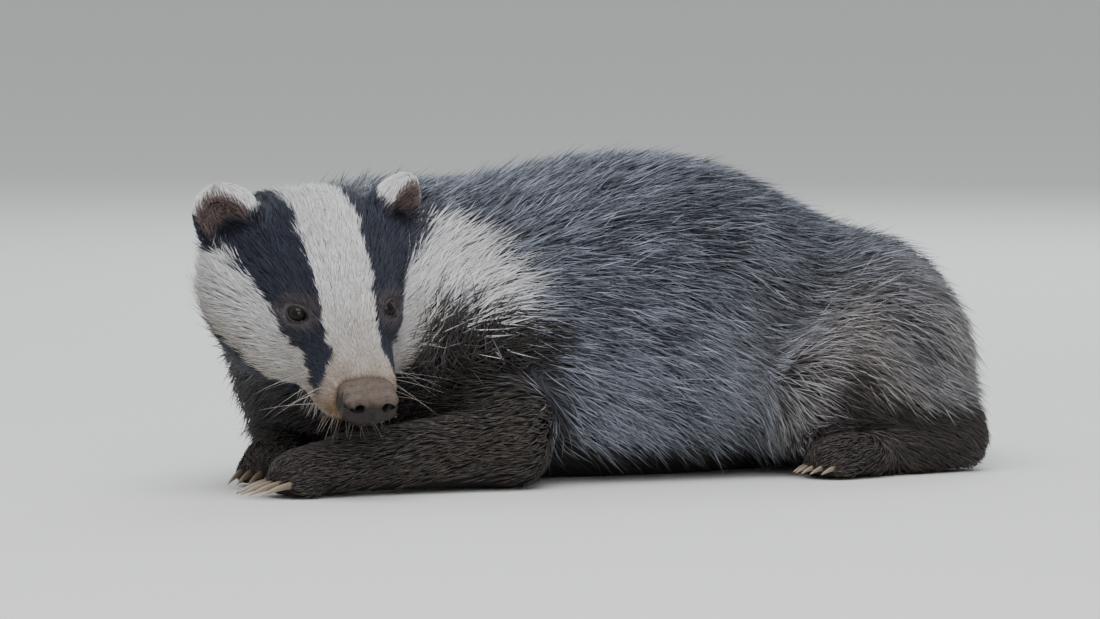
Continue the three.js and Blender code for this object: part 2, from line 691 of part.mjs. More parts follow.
const headSolid = withLocks(makeHead(), {
  field: headCore,
  axis: HEAD_AXIS,
  reach: HEAD_REACH,
  kind: "cheek",
  lift: COAT.cheek - CORE.cheek,
  lie: cheekLie,
  allowed: (q) =>
    near(CHEEK_AT, flipped(q, Math.sign(q.y)), CHEEK_LOCKS_WITHIN) && past(HEAD_PLANE, q) > ROOT_MARGIN.head,
  others: [neckCore, torsoCore, ...always].map((solid) => solid.transform(headInverse)),
  seed: 11,
});
const headInWorld = headSolid.transform(headMatrix);
const onTrunk = { lie: bodyLie, axis: TORSO_AXIS, reach: BODY_REACH };
const neckSolid = withLocks(neckCore, {
  ...onTrunk,
  field: neckField,
  axis: NECK_AXIS,
  reach: NECK_REACH,
  kind: "neck",
  lift: COAT.neck - CORE.neck,
  allowed: (p) =>
    p.z > LOWEST_ROOT && past(NECK_PLANE, p) > 0 && past(inWorld(HEAD_PLANE), p) < -ROOT_MARGIN.neck,
  others: [headInWorld, torsoCore, ...always],
  seed: 12,
});
const torsoSolid = withLocks(torsoCore, {
  ...onTrunk,
  field: bodyField,
  kind: "body",
  lift: COAT.body - CORE.body,
  allowed: (p) => p.z > LOWEST_ROOT && past(NECK_PLANE, p) < -ROOT_MARGIN.body && past(HIND_PLANE, p) < 0,
  others: [headInWorld, neckSolid, hindCore, ...always],
  seed: 13,
});
const hindSolid = withLocks(hindCore, {
  ...onTrunk,
  field: bodyField,
  axis: HIND_AXIS,
  kind: "body",
  lift: COAT.body - CORE.body,
  allowed: (p) => p.z > LOWEST_ROOT && past(HIND_PLANE, p) > ROOT_MARGIN.body,
  others: [torsoSolid, tailCore, ...always],
  seed: 14,
});
const tailSolid = withLocks(tailCore, {
  field: tailField,
  axis: TAIL_CURVE,
  reach: TAIL_REACH,
  kind: "tail",
  lift: COAT.tail - CORE.tail,
  lie: tailLie,
  allowed: (p) => p.z > 2 * LOWEST_LOCK && alongTail(p) < TAIL_LOCKS_TO,
  others: [hindSolid, torsoSolid, ...always],
  seed: 15,
});

const badger = new THREE.Group();
badger.add(head);
addPart(head, "head", headSolid, FINISHES.face_white);
addPart(head, "nose_pad", makeNosePad(), FINISHES.nose_leather);
Object.entries(SIDES).forEach(([name, side], i) => {
  addPart(head, `eye_${name}`, eyeBall(side, EYE_RADIUS), FINISHES.eye);
  addPart(head, `ear_${name}`, ears[i], FINISHES.coat_dark);
});
addPart(badger, "neck", neckSolid, FINISHES.coat_grey);
addPart(badger, "torso", torsoSolid, FINISHES.coat_grey);
addPart(badger, "hindquarters", hindSolid, FINISHES.coat_grey);
addPart(badger, "tail", tailSolid, FINISHES.coat_grey);
for (const [name, solid] of Object.entries(limbs)) addPart(badger, name, solid, FINISHES.coat_dark);

// The model's origin is under the middle of its own box.
badger.updateMatrixWorld(true);
const middle = new THREE.Box3().setFromObject(badger, true).getCenter(at(0, 0, 0));
badger.position.set(-middle.x, -middle.y, 0);

export default badger;
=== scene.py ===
import math

import bmesh
import bpy
import numpy as np
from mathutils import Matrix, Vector


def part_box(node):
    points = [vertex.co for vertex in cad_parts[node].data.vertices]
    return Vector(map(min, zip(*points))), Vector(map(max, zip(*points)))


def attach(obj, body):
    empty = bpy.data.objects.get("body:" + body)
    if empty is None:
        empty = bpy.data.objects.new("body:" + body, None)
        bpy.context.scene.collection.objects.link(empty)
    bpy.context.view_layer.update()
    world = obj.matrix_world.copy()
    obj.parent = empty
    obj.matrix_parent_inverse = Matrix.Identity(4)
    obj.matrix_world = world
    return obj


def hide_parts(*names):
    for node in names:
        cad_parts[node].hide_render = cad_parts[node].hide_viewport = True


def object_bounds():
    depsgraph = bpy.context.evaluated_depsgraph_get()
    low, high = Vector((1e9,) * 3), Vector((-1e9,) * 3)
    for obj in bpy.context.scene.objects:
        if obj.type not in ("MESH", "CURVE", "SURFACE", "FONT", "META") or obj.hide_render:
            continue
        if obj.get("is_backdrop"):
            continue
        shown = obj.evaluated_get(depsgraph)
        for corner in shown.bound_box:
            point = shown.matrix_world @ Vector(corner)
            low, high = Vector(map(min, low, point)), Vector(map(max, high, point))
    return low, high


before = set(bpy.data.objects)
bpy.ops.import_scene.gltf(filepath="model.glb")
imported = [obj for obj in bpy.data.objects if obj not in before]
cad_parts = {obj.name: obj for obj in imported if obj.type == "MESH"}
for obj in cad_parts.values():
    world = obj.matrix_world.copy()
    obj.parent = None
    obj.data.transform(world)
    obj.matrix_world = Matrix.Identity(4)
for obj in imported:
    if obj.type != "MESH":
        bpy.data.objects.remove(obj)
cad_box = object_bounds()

# A european badger lying on its belly, its head turned to its left. Shapes are worked out in millimetres
# on the animal's own drawing axes (+X shoulders to rump, -Y its left side, +Z up), where a skin is the
# zero surface of a field that is below zero inside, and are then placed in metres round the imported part.

rng = np.random.default_rng(20251)
SIDES = {"left": 1, "right": -1}


def vec(*numbers):
    return np.array(numbers, float)


def unit(v):
    return v / np.maximum(np.linalg.norm(v, axis=-1, keepdims=True), 1e-9)


def smooth_step(x, low, high):
    share = np.clip((x - low) / (high - low), 0, 1)
    return share * share * (3 - 2 * share)


def bell(distance, width):
    return np.exp(-0.5 * (distance / width) ** 2)


def mix(a, b, share):
    return a + (b - a) * share


# Fields
def mass(centre, radii):
    centre, radii = vec(*centre), vec(*radii)

    def field(p):
        q = (p - centre) / radii
        near = np.sqrt(np.einsum("ij,ij->i", q, q))
        q /= radii
        slope = np.sqrt(np.einsum("ij,ij->i", q, q))
        return near * (near - 1) / np.maximum(slope, 1e-9)

    return field


def turned_mass(centre, axes, radii):
    """A mass with half sizes along axes of its own, given as rows."""
    plain = mass((0, 0, 0), radii)
    return lambda p: plain((p - centre) @ np.array(axes).T)


def limb(start, end, thick_start, thick_end):
    start, along = vec(*start), vec(*end) - vec(*start)

    def field(p):
        share = np.clip((p - start) @ along / (along @ along), 0, 1)
        offset = p - start - share[:, None] * along
        return np.sqrt(np.einsum("ij,ij->i", offset, offset)) - mix(thick_start, thick_end, share)

    return field


def smooth_min(a, b, reach):
    near = np.maximum(reach - np.abs(a - b), 0) / reach
    return np.minimum(a, b) - near * near * reach / 4


def smooth_max(a, b, reach):
    return -smooth_min(-a, -b, reach)


def flowing(first, *others):
    def field(p):
        whole = first(p)
        for reach, other in others:
            whole = smooth_min(whole, other(p), reach)
        return whole

    return field


def mirrored(p):
    return np.column_stack([p[:, 0], np.abs(p[:, 1]), p[:, 2]])


def both_sides(field):
    return lambda p: field(mirrored(p))


# Head: its own axes run forward to the nose, to its left and up to its crown, from between the eyes.
EYES_AT = vec(-224, -99, 105.5)
HEAD_TURN, HEAD_DOWN, HEAD_ROLL = np.radians([84, 41, 2.5])


def head_axes():
    flat = math.cos(HEAD_DOWN)
    forward = -vec(math.cos(HEAD_TURN) * flat, math.sin(HEAD_TURN) * flat, math.sin(HEAD_DOWN))
    level = vec(math.sin(HEAD_TURN), -math.cos(HEAD_TURN), 0)
    crown = np.cross(forward, level)
    left = level * math.cos(HEAD_ROLL) + crown * math.sin(HEAD_ROLL)
    up = crown * math.cos(HEAD_ROLL) - level * math.sin(HEAD_ROLL)
    return np.column_stack([forward, left, up])


HEAD = head_axes()


def to_head(p):
    return (p - EYES_AT) @ HEAD


def from_head(q):
    return EYES_AT + q @ HEAD.T


EYE_RADIUS = 6.5
EYE_FACES = unit(vec(0.7, 0.46, 0.52))
EYE_AT = vec(2, 29, 0) - EYE_RADIUS * EYE_FACES
EAR_AT = vec(-71, 48, 5)
EAR_UP = unit(vec(-0.3, 0.42, 0.86))
EAR_FACES = vec(0.78, 0.52, 0.1)
EAR_FACES = unit(EAR_FACES - EAR_UP * (EAR_FACES @ EAR_UP))
EAR_AXES = [EAR_UP, EAR_FACES, np.cross(EAR_UP, EAR_FACES)]
EAR_SIZE = (25, 10, 20)
EAR_CUP_SIZE = (18.5, 8.5, 14)
EAR_CUP_AT = EAR_AT + 7 * EAR_FACES + EAR_UP

head_skin = both_sides(
    flowing(
        mass((-42, 0, -10), (40, 44, 30)),
        (22, mass((-66, 12, -18), (30, 36, 30))),
        (16, limb((-26, 0, -9), (42, 0, -19), 22, 13)),
        (12, limb((-6, 13, -22), (37, 9, -24), 19, 14.5)),
        (16, mass((-58, 29, -20), (30, 22, 24))),
        (14, mass((-34, 29, -36), (44, 20, 20))),
        (14, limb((-52, 20, -27), (34, 5, -33), 16, 8.5)),
        (12, mass((-12, 20, -10), (22, 17, 16))),
    )
)
ear_solid = turned_mass(EAR_AT, EAR_AXES, EAR_SIZE)
ear_cup = turned_mass(EAR_CUP_AT, EAR_AXES, EAR_CUP_SIZE)
ear_skin = both_sides(lambda q: smooth_max(ear_solid(q), -ear_cup(q), 3))

# Trunk, neck and limbs
NAPE = from_head(vec(-54, 0, -36))
trunk_skin = flowing(
    mass((18, 0, 87), (131, 94, 89)),
    (44, mass((142, 0, 64), (82, 76, 61))),
    (16, mass((180, 0, 81), (39, 54, 43))),
    (50, mass((-85, 0, 80), (92, 80, 72))),
    (40, mass((-158, 0, 90), (60, 62, 64))),
    (30, mass((30, 0, 45), (150, 92, 44))),
    (24, mass((-158, 12, 54), (52, 50, 50))),
    (30, both_sides(mass((-95, 58, 68), (50, 32, 54)))),
    (16, both_sides(mass((146, 54, 60), (60, 43, 57)))),
    (18, both_sides(limb((150, 72, 62), (90, 88, 44), 42, 25))),
    (40, limb((-140, 0, 92), NAPE, 62, 46)),
)
foreleg_left = flowing(
    limb((-108, -80, 40), (-116, -92, 24), 26, 20),
    (12, limb((-116, -92, 23), (-218, -90, 17), 21, 15)),
)
foreleg_right = flowing(
    limb((-108, 78, 40), (-112, 86, 24), 26, 20),
    (12, limb((-112, 82, 24), (-196, 14, 18), 22, 15)),
)
hindleg_skin = both_sides(
    flowing(
        limb((92, 94, 44), (176, 100, 28), 23, 18),
        (10, limb((180, 104, 17), (118, 116, 13), 16, 12)),
    )
)

# The tail leaves the rump to its right and curls round onto the floor.
TAIL_POINTS = vec(206, 10, 56), vec(268, 70, 10), vec(226, 168, 10)
TAIL_THICK = 24, 8
TAIL_LENGTHS = 5


def tail_at(share):
    a, b, c = TAIL_POINTS
    share = np.asarray(share)[..., None]
    return a * (1 - share) ** 2 + 2 * b * share * (1 - share) + c * share**2


def tail_skin(p):
    shares = np.linspace(0, 1, TAIL_LENGTHS + 1)
    points = tail_at(shares)
    thick = mix(*TAIL_THICK, shares)
    lengths = [limb(points[i], points[i + 1], thick[i], thick[i + 1]) for i in range(TAIL_LENGTHS)]
    return np.min([length(p) for length in lengths], axis=0)


# Paws: each in a frame of its own, +X towards the claws, on the floor
TOES = range(-2, 3)
FOREPAW = {
    "palm": (14, (26.5, 18.5, 13.5)),
    "toe": {"first": 17, "arc": 1.3, "spread": 7.2, "high": 8, "radii": (11, 4.6, 6.8)},
    "claw": {"long": 26, "thick": 2.4, "drop": 6},
}
HINDPAW = {
    "palm": (12, (26.5, 16.5, 12.5)),
    "toe": {"first": 17, "arc": 1.1, "spread": 6.4, "high": 7, "radii": (9.5, 4.1, 6)},
    "claw": {"long": 15, "thick": 2, "drop": 4},
}
PAW_PLACES = {
    "forepaw_left": (FOREPAW, (-238, -90), 180),
    "forepaw_right": (FOREPAW, (-214, -4), 219),
    "hindpaw_left": (HINDPAW, (98, -121), 188),
    "hindpaw_right": (HINDPAW, (98, 121), 172),
}


def paw_turn(heading):
    turn = math.radians(heading)
    ahead, aside = math.cos(turn), math.sin(turn)
    return np.array([[ahead, -aside, 0], [aside, ahead, 0], [0, 0, 1]])


def toe_centre(toe, i):
    return vec(toe["first"] - toe["arc"] * i * i, i * toe["spread"], toe["high"])


def paw_skin(size, place, heading):
    high, radii = size["palm"]
    toe = size["toe"]
    toes = [(3, mass(toe_centre(toe, i), toe["radii"])) for i in TOES]
    shape = flowing(mass((0, 0, high), radii), *toes)
    return lambda p: shape((p - vec(*place, 0)) @ paw_turn(heading))


paw_skins = [paw_skin(*place) for place in PAW_PLACES.values()]

PARTS = {
    "trunk": (0, trunk_skin),
    "head": (18, lambda p: head_skin(to_head(p))),
    "ears": (7, lambda p: ear_skin(to_head(p))),
    "forelegs": (14, lambda p: np.minimum(foreleg_left(p), foreleg_right(p))),
    "hindlegs": (16, hindleg_skin),
    "tail": (16, tail_skin),
    "paws": (8, lambda p: np.min([paw(p) for paw in paw_skins], axis=0)),
}
PART_NAMES = list(PARTS)


def part_distances(p):
    return np.stack([field(p) for _, field in PARTS.values()], axis=1)


def whole_skin(distances, p):
    whole = distances[:, 0]
    for (reach, _), distance in list(zip(PARTS.values(), distances.T))[1:]:
        whole = smooth_min(whole, distance, reach)
    return smooth_max(whole, -p[:, 2], 2)


def skin(p):
    return whole_skin(part_distances(p), p)


def slope_of(field, p, step=0.4):
    """The field's value at each point, and the direction in which it grows."""
    here = field(p)
    ahead = np.stack([field(p + step * axis) for axis in np.eye(3)], axis=1)
    return here, unit(ahead - here[:, None])


# Surface of a field: one corner in each grid cell that it crosses, and a quad round each crossed edge
BLOCK = 4


def surface_of(field, low, high, pitch):
    counts = np.ceil((high - low) / (pitch * BLOCK)).astype(int)
    blocks = np.stack(np.meshgrid(*map(np.arange, counts), indexing="ij"), axis=-1).reshape(-1, 3)
    rough = field(low + pitch * (blocks * BLOCK + (BLOCK - 1) / 2))
    values = rough.reshape(counts)
    for axis in range(3):
        values = np.repeat(values, BLOCK, axis=axis)
    inner = np.stack(np.meshgrid(*[np.arange(BLOCK)] * 3, indexing="ij"), axis=-1).reshape(-1, 3)
    near = blocks[np.abs(rough) < 1.4 * pitch * BLOCK]
    nodes = (near[:, None, :] * BLOCK + inner).reshape(-1, 3)
    values[tuple(nodes.T)] = field(low + pitch * nodes)
    inside = values < 0
    corners = np.array([[i >> 2 & 1, i >> 1 & 1, i & 1] for i in range(8)])
    size = np.array(values.shape) - 1
    full = np.zeros(size, int)
    for corner in corners:
        full += inside[tuple(slice(c, c + s) for c, s in zip(corner, size))]
    cells = np.argwhere((full > 0) & (full < 8))
    at_corner = np.stack([values[tuple((cells + corner).T)] for corner in corners], axis=1)
    total = np.zeros((len(cells), 3))
    crossings = np.zeros(len(cells))
    for a in range(8):
        for b in range(a + 1, 8):
            if np.abs(corners[a] - corners[b]).sum() != 1:
                continue
            va, vb = at_corner[:, a], at_corner[:, b]
            crossed = (va < 0) != (vb < 0)
            share = np.where(crossed, va / np.where(crossed, va - vb, 1), 0)[:, None]
            total += crossed[:, None] * mix(corners[a], corners[b], share)
            crossings += crossed
    points = low + pitch * (cells + total / crossings[:, None])
    number = -np.ones(size, int)
    number[tuple(cells.T)] = np.arange(len(cells))
    quads = []
    for axis in range(3):
        one, two = np.roll(np.eye(3, dtype=int), -axis - 1, axis=0)[:2]
        step = np.eye(3, dtype=int)[axis]
        lower = inside[tuple(slice(0, -1) if k == axis else slice(1, -1) for k in range(3))]
        upper = inside[tuple(slice(1, None) if k == axis else slice(1, -1) for k in range(3))]
        edges = np.argwhere(lower != upper) + (1 - step)
        ring = [number[tuple((edges - back).T)] for back in (one + two, two, 0 * one, one)]
        quad = np.stack(ring, axis=1)
        outward = inside[tuple(edges.T)]
        quads.append(np.where(outward[:, None], quad, quad[:, ::-1]))
    return points, np.concatenate(quads)


def settle(field, points, turns=3):
    """Moves points onto the zero surface of the field."""
    for _ in range(turns):
        distance, outward = slope_of(field, points)
        points = points - 0.9 * distance[:, None] * outward
    return points


# Place of the drawing axes in the part's frame, found from the left eye, which is the same in both
eye_low, eye_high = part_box("eye_left")
SHIFT = vec(*(eye_low + eye_high)) / 2 * 1000 - from_head(EYE_AT)
SHIFT[2] = 0


def placed(points):
    return (points + SHIFT) / 1000


def new_piece(name, points, faces, material, slot, replaced=()):
    """A mesh object in metres from points in millimetres, riding on the one body."""
    mesh = bpy.data.meshes.new(name)
    faces = np.asarray(faces)
    mesh.vertices.add(len(points))
    mesh.vertices.foreach_set("co", placed(points).astype(np.float32).ravel())
    mesh.loops.add(faces.size)
    mesh.loops.foreach_set("vertex_index", faces.astype(np.int32).ravel())
    mesh.polygons.add(len(faces))
    mesh.polygons.foreach_set("loop_start", np.arange(0, faces.size, faces.shape[1], dtype=np.int32))
    mesh.polygons.foreach_set("use_smooth", np.ones(len(faces), bool))
    mesh.update(calc_edges=True)
    mesh.materials.append(material)
    piece = bpy.data.objects.new(name, mesh)
    bpy.context.scene.collection.objects.link(piece)
    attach(piece, "root")
    if replaced:
        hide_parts(*replaced)
    return piece


def paint(piece, name, colours):
    attribute = piece.data.color_attributes.new(name, "FLOAT_COLOR", "POINT")
    full = np.column_stack([colours, np.ones(len(colours))])
    attribute.data.foreach_set("color", full.astype(np.float32).ravel())


# Smooth seeded noise: a few waves of about one length in random directions, from -1 to 1
def waves(seed, length, count=7):
    draw = np.random.default_rng(seed)
    ways = unit(draw.normal(size=(count, 3)))
    steps = ways * 2 * math.pi / (length * draw.uniform(0.7, 1.4, (count, 1)))
    phases = draw.uniform(0, 2 * math.pi, count)
    return lambda p: np.sin(p @ steps.T + phases).sum(axis=1) / math.sqrt(count) / 1.5


patchy = waves(1, 60)
locks = waves(4, 15)
feather = waves(2, 9)
fine_feather = waves(3, 4)
swirl = [waves(10 + i, 26) for i in range(3)]
clump = [waves(20 + i, 9) for i in range(3)]

# Eyelids and mouth. The opening is measured on the skin, which lies some way outside the eyeball.
LID_OPENING = {"wide": 9.8, "upper": 4.8, "lower": 3.9}
LID_ROUNDNESS = 0.7
LID_THICKNESS = 0.7
LID_REACH = 7.5
FAR_FROM_LIDS = 14.0
FACE_REACH = 60
MOUTH = vec(64, -33), vec(24, -41), vec(-8, -30)


def eye_frame():
    across = unit(np.cross(vec(0, 0, 1), EYE_FACES))
    return np.array([across, np.cross(EYE_FACES, across), EYE_FACES])


def eye_opening(q):
    """How far a point of the head lies outside the opening between the lids, below zero inside it."""
    across, upward, facing = (eye_frame() @ (mirrored(q) - EYE_AT).T)
    share = 1 - (across / LID_OPENING["wide"]) ** 2
    share = np.sign(share) * np.abs(share) ** LID_ROUNDNESS
    upper = upward - LID_OPENING["upper"] * share
    lower = -upward - LID_OPENING["lower"] * share
    slope = np.sqrt(1 + (1.2 * across / LID_OPENING["wide"]) ** 2)
    gap = np.maximum(upper, lower) / slope + 3 * np.maximum(2.5 - facing, 0)
    near = (facing > 0) & (np.abs(across) < 16) & (np.abs(upward) < 14)
    return np.where(near, gap, FAR_FROM_LIDS)


def mouth_distance(q):
    shares = np.linspace(0, 1, 25)[:, None]
    line = MOUTH[0] * (1 - shares) ** 2 + 2 * MOUTH[1] * shares * (1 - shares) + MOUTH[2] * shares**2
    side = q[:, [0, 2]]
    gaps = np.linalg.norm(side[:, None] - line[None], axis=2)
    return gaps.min(axis=1)


def shape_face(points, outward):
    """Lids that hug the eyeballs, the line of the mouth and the folds of the face."""
    q = to_head(points)
    near = np.linalg.norm(q - vec(-10, 0, -10), axis=1) < 95
    m = mirrored(q[near])
    gap = eye_opening(m)
    from_eye = m - EYE_AT
    toward = unit(from_eye)
    reach = np.linalg.norm(from_eye, axis=1)
    folds = 0.25 * bell(gap - 0.7, 0.5) - 0.5 * bell(gap - 2.4, 0.7) + 0.5 * bell(gap - 4.2, 0.9)
    rim = EYE_RADIUS + LID_THICKNESS + folds
    lid = mix(rim, reach, smooth_step(gap, 1.5, LID_REACH))
    depth = mix(EYE_RADIUS - 1.2, lid, smooth_step(gap, -0.35, 0.35))
    m += toward * np.where(gap < LID_REACH, depth - reach, 0)[:, None]
    inward = (outward[near] @ HEAD) * np.where(q[near, 1:2] < 0, [1, -1, 1], [1, 1, 1])
    line = mouth_distance(m)
    lips = 1.9 * bell(line, 0.75) - 0.5 * bell(line - 2.2, 1.1)
    m -= inward * (lips * smooth_step(m[:, 0], -14, -6))[:, None]
    m[:, 1] *= np.where(q[near, 1] < 0, -1, 1)
    q[near] = m
    return from_head(q)


# Refining: every chosen edge gets a corner in its middle
def refined(points, faces, chosen):
    mesh = bmesh.new()
    corners = [mesh.verts.new(p) for p in points]
    mesh.verts.index_update()
    for face in faces:
        mesh.faces.new([corners[i] for i in dict.fromkeys(face)])
    near = [edge for edge in mesh.edges if all(chosen[v.index] for v in edge.verts)]
    bmesh.ops.subdivide_edges(mesh, edges=near, cuts=1, use_grid_fill=True)
    bmesh.ops.triangulate(mesh, faces=[face for face in mesh.faces if len(face.verts) > 4])
    mesh.verts.index_update()
    fine = np.array([v.co for v in mesh.verts])
    quads = [[v.index for v in face.verts] for face in mesh.faces]
    mesh.free()
    return fine, quads


def triangles_of(faces):
    out = []
    for face in faces:
        out.append(face[:3])
        if len(face) == 4:
            out.append([face[0], face[2], face[3]])
    return np.array(out)


SKIN_PITCH = 3.0
SKIN_LOW = vec(-300, -190, -6)
SKIN_HIGH = vec(285, 190, 200)


def is_face(points):
    q = to_head(points)
    fine = (q[:, 0] > -66) & (np.linalg.norm(q - vec(-10, 0, -8), axis=1) < 82)
    return fine | (ear_skin(q) < 5)


def is_feature(points):
    q = to_head(points)
    around = (np.linalg.norm(q, axis=1) < 90) & (q[:, 0] > -20)
    return around & ((np.abs(eye_opening(q)) < 5) | ((mouth_distance(q) < 4) & (q[:, 2] < -18)))


def is_lid(points):
    q = to_head(points)
    return (np.linalg.norm(q, axis=1) < FACE_REACH) & (np.abs(eye_opening(q)) < 2.5)


skin_points, skin_faces = surface_of(skin, SKIN_LOW, SKIN_HIGH, SKIN_PITCH)
skin_points = settle(skin, skin_points)
for chooser in (is_face, is_feature, is_lid):
    skin_points, skin_faces = refined(skin_points, skin_faces, chooser(skin_points))
    skin_points = settle(skin, skin_points, 1)
skin_triangles = triangles_of(skin_faces)
_, skin_outward = slope_of(skin, skin_points)
bare_points = skin_points
skin_points = shape_face(skin_points, skin_outward)
skin_points[:, 2] = np.maximum(skin_points[:, 2], 0.3)


# Markings: share of each kind of colour at a point of the skin. Colours are linear.
BLACK = vec(0.019, 0.021, 0.031)
WHITE = vec(0.76, 0.75, 0.76)
CREAM = vec(0.60, 0.545, 0.49)
SHADED_CREAM = vec(0.70, 0.655, 0.60)
TAN = vec(0.25, 0.155, 0.09)
LID_SKIN = vec(0.022, 0.018, 0.02)
EYE_GREY = vec(0.085, 0.068, 0.074)
CUP_BROWN = vec(0.17, 0.125, 0.12)
BROWN_BLACK = vec(0.018, 0.014, 0.013)
LIMB_BROWN = vec(0.07, 0.059, 0.053)
NOSE_TOP = vec(0.085, 0.062, 0.05)
# Front of the nose pad: damp leather, darkened further by painted shade
NOSE_FRONT_DAMP_AND_SHADED = vec(0.022, 0.016, 0.015)
NOSE_RIM = vec(0.09, 0.062, 0.045)
# Dark of the grizzled coat near the skin: partly the hairs' own dark, partly painted shade deep in the
# coat
BACK_DARK_AND_DEPTH_SHADE = vec(0.022, 0.024, 0.034)
BACK_MID = vec(0.11, 0.12, 0.155)
BACK_TIP = vec(0.50, 0.54, 0.64)
FLANK_TINT = vec(0.20, 0.145, 0.105)


def stripe_half_width(forward):
    places = [-90, -60, -20, 10, 24, 31, 37, 42, 50]
    return np.interp(forward, places, [16.5, 16.5, 16, 15, 14.8, 15.6, 17.8, 20.5, 24])


def cheek_top(forward):
    places = [-90, -70, -55, -40, -20, 0, 10, 20, 28, 34, 44, 50]
    return np.interp(forward, places, [-27, -21, -11, -3, -3.5, -9, -12, -15, -19, -23, -24, -16])


def cheek_bottom(forward):
    return np.interp(forward, [-90, -60, -30, 0, 20, 35, 50], [-48, -44, -41.5, -40.5, -39.5, -38, -36])


# The white of each cheek runs on along the side of the neck, to these places on the shoulders
PATCH_FROM = vec(-44, 56, -14)
PATCH_ENDS = {"left": vec(-146, -86, 115), "right": vec(-150, 74, 110)}
PATCH_THICK = {"left": (30, 24), "right": (24, 13)}
neck_patches = [
    limb(from_head(PATCH_FROM * vec(1, side, 1)), PATCH_ENDS[name], *PATCH_THICK[name])
    for name, side in SIDES.items()
]


def share_of_parts(distances):
    nearness = np.exp(-(distances - distances.min(axis=1, keepdims=True)) / 4)
    return nearness / nearness.sum(axis=1, keepdims=True)


def markings(p, shares):
    """Shares at each point: the head's white, black and tan, the dark parts, and what tints the rest."""
    q = to_head(p)
    side = np.abs(q[:, 1])
    ragged = 1.6 * feather(p) + 1.0 * fine_feather(p)
    part = dict(zip(PART_NAMES, shares.T))
    stripe = smooth_step(side + 0.7 * ragged - stripe_half_width(q[:, 0]), -1.2, 1.2)
    above_cheek = smooth_step(q[:, 2] - cheek_top(q[:, 0]) + ragged, -1.2, 1.2)
    throat = smooth_step(cheek_bottom(q[:, 0]) - q[:, 2] + 1.5 * ragged, -2, 2)
    black = np.clip(stripe * above_cheek * (1 - 0.6 * smooth_step(q[:, 0], 32, 46)) + throat, 0, 1)
    on_head = smooth_step(q[:, 0] + 2.5 * ragged, -98, -84)
    on_head = on_head * smooth_step(part["head"] + part["ears"], 0.02, 0.3)
    patch = np.min([neck_patch(p) for neck_patch in neck_patches], axis=0) + 3 * ragged
    on_neck = smooth_step(-patch, -12, 5) * (1 - on_head)
    black = black * (1 - on_neck)
    head = np.maximum(on_head, on_neck)
    ear = part["ears"]
    ear_height = (mirrored(q) - EAR_AT) @ EAR_UP
    in_cup = smooth_step(-ear_cup(mirrored(q)) + 0.5 * ragged, -2.8, -1.2)
    ear_rim = smooth_step(ear_height + ragged, 3, 9) * (1 - in_cup)
    black = mix(black, 1 - ear_rim, smooth_step(ear, 0.3, 0.7))
    near_eye = np.linalg.norm(q, axis=1) < FACE_REACH
    nose_near = bell(np.linalg.norm((q - vec(50, 0, -27)) * vec(1, 0.8, 1.05), axis=1), 16)
    on_limb = part["forelegs"] + part["hindlegs"] + part["paws"]
    chest = smooth_step(-p[:, 0] + 3 * ragged, 88, 116) * smooth_step(-p[:, 2] + 3 * ragged, -108, -80)
    belly = smooth_step(-p[:, 2], -40, -22)
    dark = np.maximum(np.maximum(on_limb, chest), 0.85 * belly)
    dark = np.clip(dark + 0.1 * ragged, 0, 1) * (1 - head)
    tint = smooth_step(p[:, 0], -20, 110) * smooth_step(-p[:, 2], -150, -70) * (0.75 + 0.35 * patchy(p))
    muzzle = smooth_step(q[:, 0], -25, 45)
    return {
        "head": head,
        "black": black,
        "tan": np.clip(1.25 * nose_near + 0.15 * feather(p), 0, 1),
        "shaded": on_head * np.maximum(muzzle, 1.2 * smooth_step(-q[:, 2], 12, 45)),
        "low": smooth_step(-p[:, 2], -150, -40),
        "dark": dark,
        "tint": np.clip(tint, 0, 1),
        "cup": in_cup * smooth_step(ear, 0.3, 0.7),
        "patchy": patchy(p),
        "locks": locks(p),
        "around_eye": bell(np.maximum(eye_opening(q), 0), 3.8) * near_eye,
        "limb": on_limb,
    }


def skin_colours(p, marks):
    # Skin under the body's coat: dark, partly painted shade between the tufts
    back = mix(BACK_DARK_AND_DEPTH_SHADE, BACK_MID, 0.35)[None]
    back = mix(back, FLANK_TINT * 0.6, 0.6 * marks["tint"][:, None])
    body = mix(back, BROWN_BLACK, marks["dark"][:, None])
    pale = mix(mix(WHITE, CREAM, 0.5)[None], TAN, marks["tan"][:, None])
    face = mix(pale, BLACK, marks["black"][:, None])
    colour = mix(body, face, marks["head"][:, None])
    colour = mix(colour, CUP_BROWN, marks["cup"][:, None])
    q = to_head(p)
    near_eye = np.linalg.norm(q, axis=1) < FACE_REACH
    lid = smooth_step(-np.abs(eye_opening(q)), -1.1, -0.4) * near_eye
    colour = mix(colour, EYE_GREY, marks["around_eye"][:, None])
    colour = mix(colour, NOSE_RIM, smooth_step(-nose_skin(q), -3.0, -1.0)[:, None])
    return mix(colour, LID_SKIN, lid[:, None])


# Lie of the coat: back along the spine and down the flanks, along each leg to its toes, up each ear
def curve_through(points, count):
    ends = np.vstack([2 * points[0] - points[1], points, 2 * points[-1] - points[-2]])
    place = np.linspace(0, len(points) - 1, count)
    start = np.minimum(place.astype(int), len(points) - 2)
    t = (place - start)[:, None]
    a, b, c, d = (ends[start + k] for k in range(4))
    bend = (2 * a - 5 * b + 4 * c - d) * t**2 + (3 * b - a - 3 * c + d) * t**3
    return 0.5 * (2 * b + (c - a) * t + bend)


HEAD_MARKS = from_head(np.array([(60, 0, -6), (0, 0, 10), (-50, 0, 20)]))
BACK_MARKS = np.array([(-196, -30, 146), (-140, -4, 146), (0, 0, 150), (140, 0, 112), (216, 6, 62)])
SPINE = curve_through(np.vstack([HEAD_MARKS, BACK_MARKS]), 48)
SPINE_ALONG = unit(np.gradient(SPINE, axis=0))
SPINE_BLUR = 32
FLANK_DROOP = 0.36
TAIL_MARKS = tail_at(np.linspace(0, 1, 16))
TAIL_ALONG = unit(np.gradient(TAIL_MARKS, axis=0))


